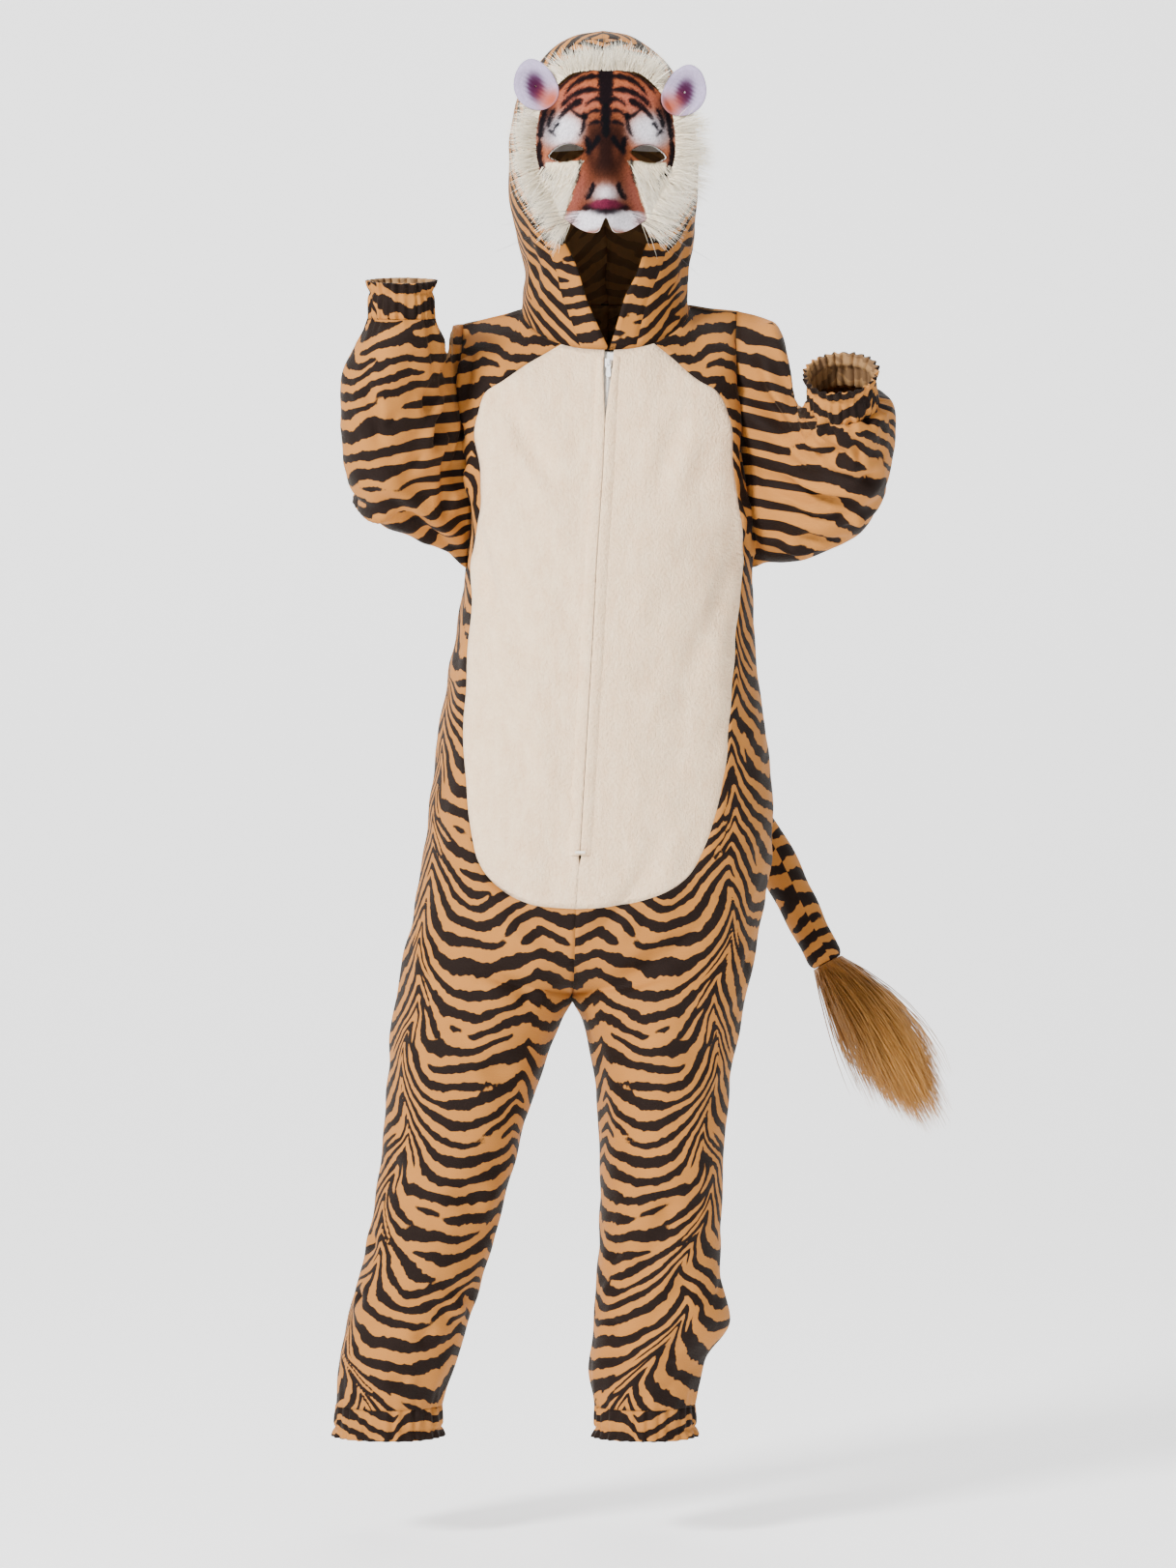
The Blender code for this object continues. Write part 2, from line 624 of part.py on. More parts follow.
def material(name, colour, rough, metal=0.0):
    """A plain Principled material."""
    found = bpy.data.materials.get(name)
    if found:
        return found
    made = bpy.data.materials.new(name)
    made.use_nodes = True
    shader = made.node_tree.nodes["Principled BSDF"]
    shader.inputs["Base Color"].default_value = (*colour, 1.0)
    shader.inputs["Roughness"].default_value = rough
    shader.inputs["Metallic"].default_value = metal
    made.diffuse_color = (*colour, 1.0)
    return made


FINISHES = {
    "tiger velour": ((0.60, 0.36, 0.14), 0.7),
    "cream plush": ((0.83, 0.75, 0.62), 0.9),
    "white zip tape": ((0.85, 0.84, 0.80), 0.7),
    "white zip metal": ((0.88, 0.88, 0.87), 0.35),
    "ginger hair": ((0.48, 0.24, 0.05), 0.6),
    "cream fur": ((0.85, 0.81, 0.72), 0.9),
    "printed mask": ((0.62, 0.36, 0.20), 0.6),
    "ear felt": ((0.62, 0.55, 0.62), 0.8),
    "white elastic": ((0.85, 0.85, 0.83), 0.7),
}


def add_object(name, points, faces, finish, scene_collection):
    """A mesh object from points in millimetres. Cells whose corners meet become triangles."""
    mesh = bpy.data.meshes.new(name)
    corners = faces.tolist() if isinstance(faces, np.ndarray) else faces
    clean = [[v for k, v in enumerate(f) if v != f[k - 1]] for f in corners]
    mesh.from_pydata((np.asarray(points) * MM).tolist(), [], [f for f in clean if len(f) > 2])
    mesh.validate()
    mesh.shade_smooth()
    mesh.set_sharp_from_angle(angle=math.radians(50))
    obj = bpy.data.objects.new(name, mesh)
    colour, rough = FINISHES[finish]
    mesh.materials.append(material(finish, colour, rough))
    scene_collection.objects.link(obj)
    return obj


def cloth_pieces():
    """The grids of every cloth piece of the suit, as name: (finish, thickness, [(grid, flipped)])."""
    pieces = {}
    for side, sign in SIDES.items():
        left = sign > 0
        legs = body(side, "front", FRONT_S[None], LEG_T[:, None])
        yoke = front_yoke(side)
        pieces["front_" + side] = ("tiger velour", CLOTH, [(legs, not left), (yoke, left)])
        back_t = np.concatenate([LEG_T, SIDE_T[1:]])
        back = body(side, "back", BACK_S[None], back_t[:, None])
        pieces["back_" + side] = ("tiger velour", CLOTH, [(back, left)])
        pieces["belly_" + side] = ("cream plush", PLUSH, [(belly_panel(side), not left)])
        tube = sleeve(side)
        pieces["sleeve_" + side] = ("tiger velour", CLOTH, [(tube, left)])
        axis = wrist_axis(side)
        pieces["cuff_" + side] = ("tiger velour", CLOTH, [(casing(tube[-1], axis, CASING), left)])
        hem = casing(leg_ring(side), np.array([0, 0, -1.0]), HEM_CASING)
        pieces["hem_" + side] = ("tiger velour", CLOTH, [(hem, left)])
    halves = {side: hood(side) for side in SIDES}
    for side, sign in SIDES.items():
        pieces["hood_" + side] = ("tiger velour", CLOTH, [(halves[side][:, BAND_CELLS:], sign < 0)])
    band = [(halves[side][:, : BAND_CELLS + 1], sign < 0) for side, sign in SIDES.items()]
    pieces["hood_band"] = ("tiger velour", CLOTH, band)
    return pieces


def build_cloth(group):
    """Every cloth piece as a wall, with normals shared over the seams."""
    pieces = cloth_pieces()
    meshes = [joined(grids) for _, _, grids in pieces.values()]
    normals = shared_normals(meshes, casing_planes())
    for (name, (finish, thick, _)), (points, cells), normal in zip(pieces.items(), meshes, normals):
        seam = STEEP_SEAM if name.startswith(("sleeve", "hood")) else SEAM
        add_object(name, *wall(points, cells, normal, thick, seam), finish, group)


def single_wall(name, grid, thick, lift, finish, group, flip=False):
    """A wall of its own over a grid, lifted off it along its normals."""
    points, cells = joined([(grid, flip)])
    (normals,) = shared_normals([(points, cells)], [])
    return add_object(name, *wall(points, cells, normals, thick, 0.0, lift), finish, group)


def zip_rows(low, high):
    """The belly's own rows between two rows of the body, with both ends."""
    bottom = BELLY[0][0]
    t = bottom + side_shares() * (TOP - bottom)
    return np.concatenate([[low], t[(t > low + 0.1) & (t < high - 0.1)], [high]])


def beside_zip(away, t):
    """Points of the front at distances away from the centre line, negative to the right side. away may vary
    along the zip: it has a row for each t."""
    away = np.broadcast_to(away, (len(t), np.shape(away)[-1]))
    grid = []
    for column in away.T:
        side = "right" if column.mean() < 0 else "left"
        grid.append(body(side, "front", slot_s(side, t, np.abs(column)), t))
    return np.stack(grid, axis=1)


def build_zip(group):
    """Tape behind the belly's slot, coil on the tape, two fly flaps of plush over both, and the end tack."""
    tape_t = zip_rows(ZIP_END_T, ZIP_TOP_T)
    under = -(PLUSH + TAPE_GAP)
    tape = beside_zip(np.array([[-TAPE_HALF, -ZIP_SLOT, 0.0, ZIP_SLOT, TAPE_HALF]]), tape_t)
    single_wall("zip_tape", tape, TAPE_THICK, under, "white zip tape", group)
    coil = beside_zip(np.array([[-COIL_HALF, 0.0, COIL_HALF]]), zip_rows(ZIP_END_T + 0.1, COIL_TOP_T))
    single_wall("zip_coil", coil, COIL_THICK, under + SEAM + COIL_THICK, "white zip tape", group)
    opening = np.clip((tape_t - FLY_OPEN_T) / (ZIP_TOP_T - FLY_OPEN_T), 0, 1)
    inner = FLY_HALF_GAP + (FLY_TOP_GAP - FLY_HALF_GAP) * opening
    outer = np.full(len(tape_t), FLY_WIDTH)
    middle = (inner + outer) / 2
    for side, sign in SIDES.items():
        away = np.stack([inner, middle, outer], axis=1) * sign
        flap = beside_zip(away[:, ::sign], tape_t)
        single_wall("zip_flap_" + side, flap, FLY_THICK, SEAM + FLY_THICK, "cream plush", group)


def zip_frame(t):
    """Place on the centre line at t, with the directions across, out of the cloth and up along it."""
    ends = beside_zip(np.array([[-1.0, 1.0]]), np.array([t - 0.02, t, t + 0.02]))
    up = unit(ends[2].mean(axis=0) - ends[0].mean(axis=0))
    across = np.array([1.0, 0.0, 0.0])
    out = unit(np.cross(across, up))
    return ends[1].mean(axis=0), across, out, unit(np.cross(out, across))


def placed(obj, t, rise, along=0.0):
    """Puts an object, modelled with its back at local y 0, on the zip's line, rise above the cloth."""
    middle, across, out, up = zip_frame(t)
    turn = Matrix([across, -out, up]).transposed().to_4x4()
    place = middle + out * rise + up * along
    obj.matrix_world = Matrix.Translation(Vector(place * MM)) @ turn
    return obj


def box(name, size, finish, group, bevel):
    """A rounded box with its back on local y 0 and its front at minus its thickness."""
    mesh = bpy.data.meshes.new(name)
    bm = bmesh.new()
    bmesh.ops.create_cube(bm, size=1.0)
    wide, thick, tall = (v * MM for v in size)
    for v in bm.verts:
        v.co = Vector((v.co.x * wide, (v.co.y - 0.5) * thick, v.co.z * tall))
    bmesh.ops.bevel(bm, geom=bm.edges[:], offset=bevel * MM, segments=1, affect="EDGES")
    bm.to_mesh(mesh)
    bm.free()
    return link_object(name, mesh, finish, group)


def link_object(name, mesh, finish, group):
    """An object for a finished mesh or curve."""
    obj = bpy.data.objects.new(name, mesh)
    colour, rough = FINISHES[finish]
    mesh.materials.append(material(finish, colour, rough, 1.0 if "metal" in finish else 0.0))
    group.objects.link(obj)
    return obj


def staple_points():
    """Side view of the slider's bridge: a square-topped loop whose feet sink into the slider's body."""
    sink = 0.6
    inner = BRIDGE_HALF - BRIDGE_BAR
    rise = BRIDGE_RISE
    outline = [
        (-BRIDGE_HALF, -sink), (-BRIDGE_HALF, rise - 0.8), (-BRIDGE_HALF + 0.8, rise),
        (BRIDGE_HALF - 0.8, rise), (BRIDGE_HALF, rise - 0.8), (BRIDGE_HALF, -sink),
        (inner, -sink), (inner, rise - BRIDGE_BAR), (-inner, rise - BRIDGE_BAR), (-inner, -sink),
    ]
    return outline


def prism(name, outline, half_width, group):
    """A closed solid: an outline in local z (along) and -y (rise), carried from -x to +x."""
    mesh = bpy.data.meshes.new(name)
    bm = bmesh.new()
    near = [bm.verts.new((-half_width * MM, -rise * MM, along * MM)) for along, rise in outline]
    face = bm.faces.new(near)
    made = bmesh.ops.extrude_face_region(bm, geom=[face])
    moved = [v for v in made["geom"] if isinstance(v, bmesh.types.BMVert)]
    bmesh.ops.translate(bm, verts=moved, vec=(2 * half_width * MM, 0, 0))
    bmesh.ops.recalc_face_normals(bm, faces=bm.faces[:])
    bm.to_mesh(mesh)
    bm.free()
    obj = bpy.data.objects.new(name, mesh)
    group.objects.link(obj)
    return obj


def build_slider(group, tools):
    """Slider body with the bridge that holds the pull."""
    size = (SLIDER_WIDTH, SLIDER_THICK, SLIDER_LENGTH)
    body_block = box("zip_slider", size, "white zip metal", group, SLIDER_BEVEL)
    bridge = prism("bridge_shape", staple_points(), BRIDGE_WIDTH / 2, tools)
    bridge.hide_render = True
    bridge.display_type = "WIRE"
    bridge.location = (0, -SLIDER_THICK * MM, 0)
    join = body_block.modifiers.new("bridge", "BOOLEAN")
    join.operation = "UNION"
    join.object = bridge
    bpy.context.view_layer.update()
    merged = bpy.data.meshes.new_from_object(body_block.evaluated_get(bpy.context.evaluated_depsgraph_get()))
    body_block.modifiers.clear()
    body_block.data = merged
    bpy.data.objects.remove(bridge)
    placed(body_block, SLIDER_T, -SLIDER_THICK)


def spline(curve, outline):
    """A closed straight-sided spline in a flat curve, from points in millimetres."""
    made = curve.splines.new("POLY")
    made.points.add(len(outline) - 1)
    for point, (x, y) in zip(made.points, outline):
        point.co = (x * MM, y * MM, 0, 1)
    made.use_cyclic_u = True


def build_pull(group):
    """The pull tab: a flat outline with a window for the bridge, its top bar on the joint's axis."""
    curve = bpy.data.curves.new("zip_pull", "CURVE")
    curve.dimensions = "2D"
    curve.fill_mode = "BOTH"
    curve.extrude = PULL_THICK / 2 * MM
    top, wide = PULL_BAR / 2, PULL_HALF
    neck = -PULL_WINDOW - 1.0
    low = top - PULL_LENGTH
    right = [
        (PULL_BAR_HALF, top),
        (PULL_BAR_HALF, neck),
        (wide - 0.7, neck - 1.5),
        (wide, low + 1.5),
        (wide - 0.8, low + 0.4),
        (0.6, low),
    ]
    spline(curve, [(-PULL_BAR_HALF, top)] + right + [(-x, y) for x, y in right[:0:-1]])
    window = PULL_WINDOW_HALF
    spline(curve, [(-window, -top), (window, -top), (window, -PULL_WINDOW), (-window, -PULL_WINDOW)])
    flat = bpy.data.objects.new("pull_shape", curve)
    group.objects.link(flat)
    bpy.context.view_layer.update()
    mesh = bpy.data.meshes.new_from_object(flat.evaluated_get(bpy.context.evaluated_depsgraph_get()))
    bpy.data.objects.remove(flat)
    bm = bmesh.new()
    bm.from_mesh(mesh)
    bmesh.ops.remove_doubles(bm, verts=bm.verts[:], dist=1e-6)
    bmesh.ops.rotate(bm, verts=bm.verts[:], cent=(0, 0, 0), matrix=Matrix.Rotation(math.pi / 2, 3, "X"))
    bmesh.ops.recalc_face_normals(bm, faces=bm.faces[:])
    bm.to_mesh(mesh)
    bm.free()
    mesh.materials.clear()
    placed(link_object("zip_pull", mesh, "white zip metal", group), SLIDER_T, HINGE_RISE)


def back_depth(x, z):
    """y of the back's outer surface at x and z, over the seat and waist where rows are level."""
    side = "right" if x < TAIL[0][0] + 1 else "left"
    s = np.linspace(0, 0.6, 61)
    t = np.linspace(11.5, 16, 91)
    grid = body(side, "back", s[None], t[:, None])
    row = np.argmin(np.abs(grid[:, 10, 2] - z))
    return np.interp(x * SIDES[side], grid[row, :, 0] * SIDES[side], grid[row, :, 1])


def loft(rings, root):
    """A closed solid through rings of one size, drawn in to the point root at its start and flat at its end."""
    n, m = rings.shape[:2]
    i, j = np.meshgrid(np.arange(n - 1), np.arange(m), indexing="ij")
    a = (i * m + j).ravel()
    b = (i * m + (j + 1) % m).ravel()
    sides = np.stack([a, b, b + m, a + m], axis=1).tolist()
    start = [[(k + 1) % m, k, n * m] for k in range(m)]
    end = [[k + (n - 1) * m for k in range(m)]]
    return np.concatenate([rings.reshape(-1, 3), [root]]), sides + start + end


def path_rings(path, radius, count):
    """Round rings square to a smooth path, kept upright along it, and the path's last point and direction."""
    table = np.concatenate([path, radius[:, None]], axis=1)[:, None, :].repeat(count, axis=1)
    along = np.linspace(0, len(path) - 1, count)
    track = smooth(table, along)
    run = unit(np.gradient(track[:, :3], axis=0))
    side = unit(np.cross(run, np.array([0.15, 0.2, 1.0])))
    up = np.cross(side, run)
    a = 2 * np.pi * np.arange(TAIL_SIDES) / TAIL_SIDES
    circle = side[:, None] * np.cos(a)[None, :, None] + up[:, None] * np.sin(a)[None, :, None]
    return track[:, None, :3] + circle * track[:, None, 3:], track[-1, :3], run[-1]


def outward(points, faces):
    """The faces turned so that the solid's volume is positive."""
    total = 0.0
    for f in faces:
        for k in range(1, len(f) - 1):
            total += np.dot(points[f[0]], np.cross(points[f[k]], points[f[k + 1]]))
    return faces if total > 0 else [f[::-1] for f in faces]


def build_tail(group):
    """The stuffed tail: round sections along its route. The first lies on the back panels."""
    table = np.array(TAIL, float)
    rings, end, run = path_rings(table[:, :3], table[:, 3], TAIL_RINGS)
    a = 2 * np.pi * np.arange(TAIL_SIDES) / TAIL_SIDES
    first = rings[0]
    middle = table[0, :3]
    reach = table[0, 3]
    start = np.arctan2(first[0, 2] - middle[2], first[0, 0] - middle[0])
    turn = np.sign(np.cross((first[0] - middle)[[0, 2]], (first[1] - middle)[[0, 2]]))
    seats = []
    for share in (0.0, 0.5, 1.0):
        x = middle[0] + share * reach * np.cos(start + turn * a)
        z = middle[2] + share * reach * np.sin(start + turn * a)
        y = np.array([back_depth(x[k], z[k]) for k in range(TAIL_SIDES)]) + TAIL_SEAT
        seats.append(np.stack([x, y, z], axis=1))
    rings = np.concatenate([seats[1][None], seats[2][None], rings[1:]])
    points, faces = loft(rings, seats[0][0])
    add_object("tail", points, outward(points, faces), "tiger velour", group)
    build_tuft(end, run, group)


def grow_lock(points, faces, cell, tip, bend, taper):
    """Replaces a four-cornered cell by a lock: it narrows through a waist to a tip. bend moves the waist."""
    corners = np.array([points[k] for k in cell])
    root = corners.mean(axis=0)
    waist = root + (tip - root) * 0.5 + bend
    ring = [len(points) + k for k in range(4)]
    points.extend(list(waist + (corners - root) * taper))
    end = len(points)
    points.append(tip)
    for k in range(4):
        faces.append([cell[k], cell[(k + 1) % 4], ring[(k + 1) % 4], ring[k]])
        faces.append([ring[k], ring[(k + 1) % 4], end])


def build_tuft(end, run, group):
    """The hair tuft: a short round head on the tail's end whose far face is a grid of cells, each grown into a
    lock. Locks spread from the head without crossing, and hang a little."""
    rng = np.random.default_rng(SEED)
    side = unit(np.cross(run, np.array([0.0, 1.0, 0.0])))
    up = np.cross(side, run)
    n = TUFT_CELLS + 1
    u, v = np.meshgrid(np.linspace(-1, 1, n), np.linspace(-1, 1, n), indexing="ij")
    round_u = u * np.sqrt(1 - v * v / 2)
    round_v = v * np.sqrt(1 - u * u / 2)
    disc = (round_u[..., None] * side + round_v[..., None] * up) * TUFT_RADIUS
    start = end + run * SEAM
    near = start + disc
    far = start + disc * 1.15 + run * TUFT_HEAD
    points = list(np.concatenate([far.reshape(-1, 3)]))
    faces = []
    lean = unit(np.array(TUFT_LEAN))
    for i in range(TUFT_CELLS):
        for j in range(TUFT_CELLS):
            cell = [i * n + j, (i + 1) * n + j, (i + 1) * n + j + 1, i * n + j + 1]
            middle = np.mean([points[k] for k in cell], axis=0)
            off = middle - start - run * TUFT_HEAD
            outer = np.linalg.norm(off) / TUFT_RADIUS
            long = TUFT_LENGTH * (1 - TUFT_ROUNDING * min(outer, 1) ** 2 - 0.12 * rng.random())
            tip = middle + lean * long + off * TUFT_SPREAD
            grow_lock(points, faces, cell, tip, np.array(TUFT_BOW), LOCK_TAPER)
    edge = [i * n for i in range(n)] + [(n - 1) * n + j for j in range(1, n)]
    edge += [i * n + n - 1 for i in range(n - 2, -1, -1)] + [j for j in range(n - 2, 0, -1)]
    first = len(points)
    points.extend(list(near.reshape(-1, 3)[edge]))
    m = len(edge)
    for k in range(m):
        a, b = edge[k], edge[(k + 1) % m]
        faces.append([b, a, first + k, first + (k + 1) % m])
    faces.append([first + k for k in range(m - 1, -1, -1)])
    points = np.array(points)
    add_object("tail_tuft", points, outward(points, faces), "ginger hair", group)


def mask_columns(z):
    """The mask's named columns at heights z."""
    c = columns(MASK, MASK_COLUMNS)
    return {name: np.interp(z, c["z"], c[name]) for name in MASK_COLUMNS}


def mask_depth(x, z):
    """y of the mask's front: it bends back to its edges as a parabola and stands forward along the nose."""
    c = mask_columns(z)
    share = np.clip(np.abs(x - MASK_MIDDLE_X) / c["half"], 0, 1)
    nose = c["nose"] * np.exp(-(((x - MASK_MIDDLE_X) / NOSE_HALF) ** 2))
    return MASK_MIDDLE_Y + c["edge"] * share**2 - nose


def build_mask(group, tools):
    """The face of the mask: a curved sheet with almond eye holes."""
    low, high = MASK[0][0], MASK[-1][0]
    b = np.linspace(0, 1, MASK_ROWS)[:, None]
    a = np.linspace(-1, 1, MASK_COLS)[None]
    z = low + (high - low) * (b * b * (3 - 2 * b) * 0.35 + b * 0.65)
    drop = 3.0 * np.abs(a) * (1 - b) - 6.0 * a**2 * b**2
    x = MASK_MIDDLE_X + mask_columns(z)["half"] * a
    z = z + drop
    grid = np.stack(np.broadcast_arrays(x, mask_depth(x, z), z), axis=2)
    face = single_wall("mask_face", grid, MASK_THICK, 0.0, "printed mask", group)
    for number, (eye_x, eye_z, tilt) in enumerate(EYES):
        cutter = almond("eye_cut_%d" % number, tools)
        cutter.location = (eye_x * MM, mask_depth(eye_x, eye_z) * MM, eye_z * MM)
        cutter.rotation_euler = (0, math.radians(tilt), 0)
        cut = face.modifiers.new("eye", "BOOLEAN")
        cut.operation = "DIFFERENCE"
        cut.object = cutter


def almond(name, tools):
    """A cutter along y whose outline is an almond: two arcs that meet in points at its corners."""
    a = np.linspace(-1, 1, 8)
    high = EYE_HALF[1] * (1 - a**2) ** 0.8
    outline = [(x * EYE_HALF[0], h) for x, h in zip(a, high)]
    outline += [(x * EYE_HALF[0], -h * 0.85) for x, h in zip(a[-2:0:-1], high[-2:0:-1])]
    mesh = bpy.data.meshes.new(name)
    bm = bmesh.new()
    near = [bm.verts.new((x * MM, -0.012, z * MM)) for x, z in outline]
    made = bmesh.ops.extrude_face_region(bm, geom=[bm.faces.new(near)])
    moved = [v for v in made["geom"] if isinstance(v, bmesh.types.BMVert)]
    bmesh.ops.translate(bm, verts=moved, vec=(0, 0.024, 0))
    bmesh.ops.recalc_face_normals(bm, faces=bm.faces[:])
    bm.to_mesh(mesh)
    bm.free()
    cutter = bpy.data.objects.new(name, mesh)
    cutter.hide_render = True
    cutter.display_type = "WIRE"
    tools.objects.link(cutter)
    return cutter


def build_ears(group):
    """Round felt ears on the mask's upper corners, lying just in front of its face."""
    for side, (mid_x, mid_z) in EARS.items():
        a = 2 * np.pi * np.arange(EAR_SPOKES + 1) / EAR_SPOKES
        r = np.array(EAR_RINGS)[:, None]
        x = mid_x + EAR_HALF[0] * r * np.cos(a)[None]
        z = mid_z + EAR_HALF[1] * r * np.sin(a)[None]
        y = mask_depth(x, z) - EAR_FORWARD
        rings = np.stack([x, y, z], axis=2)
        rings[:, -1] = rings[:, 0]
        middle = rings[0].mean(axis=0) * np.ones((1, EAR_SPOKES + 1, 3))
        single_wall("mask_ear_" + side, np.concatenate([middle, rings]), EAR_THICK, 0.0, "ear felt", group)


def mask_edge(angle):
    """Place on the mask's outline in the direction angle from its middle, by search along that ray."""
    c = columns(MASK, MASK_COLUMNS)
    reach = np.linspace(5, 100, 400)
    x = reach * math.cos(angle)
    z = FUR_MIDDLE_Z + reach * math.sin(angle)
    half = np.interp(z, c["z"], c["half"], left=0, right=0)
    inside = (np.abs(x) < half) & (z > MASK[0][0]) & (z < MASK[-1][0])
    last = reach[inside].max()
    x, z = MASK_MIDDLE_X + last * math.cos(angle), FUR_MIDDLE_Z + last * math.sin(angle)
    return np.array([x, float(mask_depth(x, z)), z])


def build_fur(group):
    """The fur edge: a bent backing strip round the mask, lapped under its edge, with a lock grown from every
    cell of its outer rim and of its front."""
    rng = np.random.default_rng(SEED)
    angles = np.radians(np.linspace(FUR_ENDS[0], FUR_ENDS[1], FUR_CELLS + 1))
    edge = np.array([mask_edge(a) for a in angles])
    for _ in range(3):
        edge[1:-1] = (edge[:-2] + 2 * edge[1:-1] + edge[2:]) / 4
    run = unit(np.gradient(edge, axis=0))
    out = unit(np.cross(run, np.array([0.0, 1.0, 0.0])))
    out *= np.sign((out * (edge - edge.mean(axis=0))).sum(axis=1, keepdims=True))
    back = np.array([0.0, 1.0, 0.0])
    lap = edge - out * FUR_LAP + back * FUR_BACK
    inner = edge + out * FUR_GAP + back * FUR_BACK
    outer = edge + out * (FUR_GAP + FUR_WIDTH) + back * (FUR_BACK + 2.0)
    corners = [lap, inner, outer, outer + back * FUR_THICK, lap + back * FUR_THICK]
    n = len(edge)
    points = [p for corner in corners for p in corner]
    faces = []
    for k in range(n - 1):
        pairs = [(c * n + k, (c + 1) % len(corners) * n + k) for c in range(len(corners))]
        strips = [[a, b, b + 1, a + 1] for a, b in pairs]
        front, rim = strips[1], strips[2]
        faces += [strips[0], strips[3], strips[4]]
        away = (out[k] + out[k + 1]) / 2
        for cell, tilt, share in ((front, -0.75, 0.62), (rim, 0.10, 1.0)):
            middle = np.mean([points[c] for c in cell], axis=0)
            by_ear = min(math.hypot(middle[0] - x, middle[2] - z) for x, z in EARS.values()) < EAR_CLEAR
            if by_ear and tilt < 0:
                tilt, share = 0.0, 0.35
            sway = run[k] * (rng.random() - 0.5) * 0.15
            reach = FUR_LOCK * share * (0.8 + 0.4 * rng.random())
            tip = middle + (away + back * tilt + sway) * reach
            grow_lock(points, faces, cell, tip, np.zeros(3), 0.6)
    faces.append([c * n for c in range(4, -1, -1)])
    faces.append([c * n + n - 1 for c in range(5)])
    points = np.array(points)
    add_object("mask_fur", points, outward(points, faces), "cream fur", group)


def build_elastic(group):
    """The elastic that holds the mask: a flat band along the hood's inside, from one side of the mask round the
    back to the other."""
    halves = []
    for side, sign in SIDES.items():
        below, rows, above = hood(side)[ELASTIC_ROW - 1 : ELASTIC_ROW + 2]
        normal = unit(np.cross(np.gradient(rows, axis=0), above - below)) * sign
        band = np.stack([rows + (below - rows) * ELASTIC_SHARE, rows + (above - rows) * ELASTIC_SHARE])
        halves.append(band - normal * ELASTIC_INSET)
    lead = []
    for (side, sign), rows in zip(SIDES.items(), halves):
        z = rows[:, 0, 2]
        half = mask_columns(z)["half"]
        x = MASK_MIDDLE_X + sign * (half - ELASTIC_LAP)
        y = mask_depth(MASK_MIDDLE_X + sign * half, z) + FUR_BACK + FUR_THICK - SEAM
        lead.append(np.stack([x, y, z], axis=1)[:, None])
    right = np.concatenate([lead[0], halves[0]], axis=1)
    left = np.concatenate([lead[1], halves[1]], axis=1)
    ribbon = np.concatenate([right, left[:, -2::-1]], axis=1)
    single_wall("mask_elastic", ribbon, ELASTIC_THICK, 0.0, "white elastic", group, flip=True)


def main():
    for obj in list(bpy.data.objects):
        bpy.data.objects.remove(obj)
    group = bpy.data.collections.new("tiger_jumpsuit_costume")
    tools = bpy.data.collections.new("cutters")
    bpy.context.scene.collection.children.link(group)
    bpy.context.scene.collection.children.link(tools)
    build_cloth(group)
    build_zip(group)
    build_slider(group, tools)
    build_pull(group)
    tack = box("zip_tack", TACK_SIZE, "cream plush", group, TACK_BEVEL)
    placed(tack, ZIP_END_T + 0.05, FLY_THICK + 2.5 * SEAM)
    build_tail(group)
    build_mask(group, tools)
    build_ears(group)
    build_fur(group)
    build_elastic(group)


main()
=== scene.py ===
"""Looks of the tiger jumpsuit costume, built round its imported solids: every cloth piece as a thin shell on
its solid's form with folds and gathers, striped velour, the plush belly, the zip, the fur and the hair."""

import math

import bpy
import numpy as np
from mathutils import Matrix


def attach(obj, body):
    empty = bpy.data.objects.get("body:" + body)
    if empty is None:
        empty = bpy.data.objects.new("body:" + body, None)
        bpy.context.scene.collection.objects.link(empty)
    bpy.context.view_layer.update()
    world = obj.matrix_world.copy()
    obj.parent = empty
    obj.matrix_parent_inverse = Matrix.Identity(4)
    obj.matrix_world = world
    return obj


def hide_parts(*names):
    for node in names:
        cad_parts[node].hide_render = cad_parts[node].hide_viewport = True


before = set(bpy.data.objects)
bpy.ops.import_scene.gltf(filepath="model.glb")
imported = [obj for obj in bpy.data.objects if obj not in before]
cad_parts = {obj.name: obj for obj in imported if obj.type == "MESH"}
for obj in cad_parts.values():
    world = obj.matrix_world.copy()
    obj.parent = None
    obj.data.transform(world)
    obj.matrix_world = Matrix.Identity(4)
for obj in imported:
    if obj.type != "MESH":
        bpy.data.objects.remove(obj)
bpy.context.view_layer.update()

MM = 0.001
DOWN = np.array([0, 0, -1.0])

# Thickness of the plush in the solids, and of both cloths here
PLUSH = 2.6
PLUSH_SHELL = PLUSH * 0.8
SHELL = 1.3

# Points closer than a key's step count as one. The shift keeps round sizes off the steps.
KEYS_PER_MM = 200
KEY_SHIFT = 0.3137

# Shape of a section: 1 is an ellipse, less is squarer
TORSO_ROUND = 0.9
LEG_ROUND = 0.94

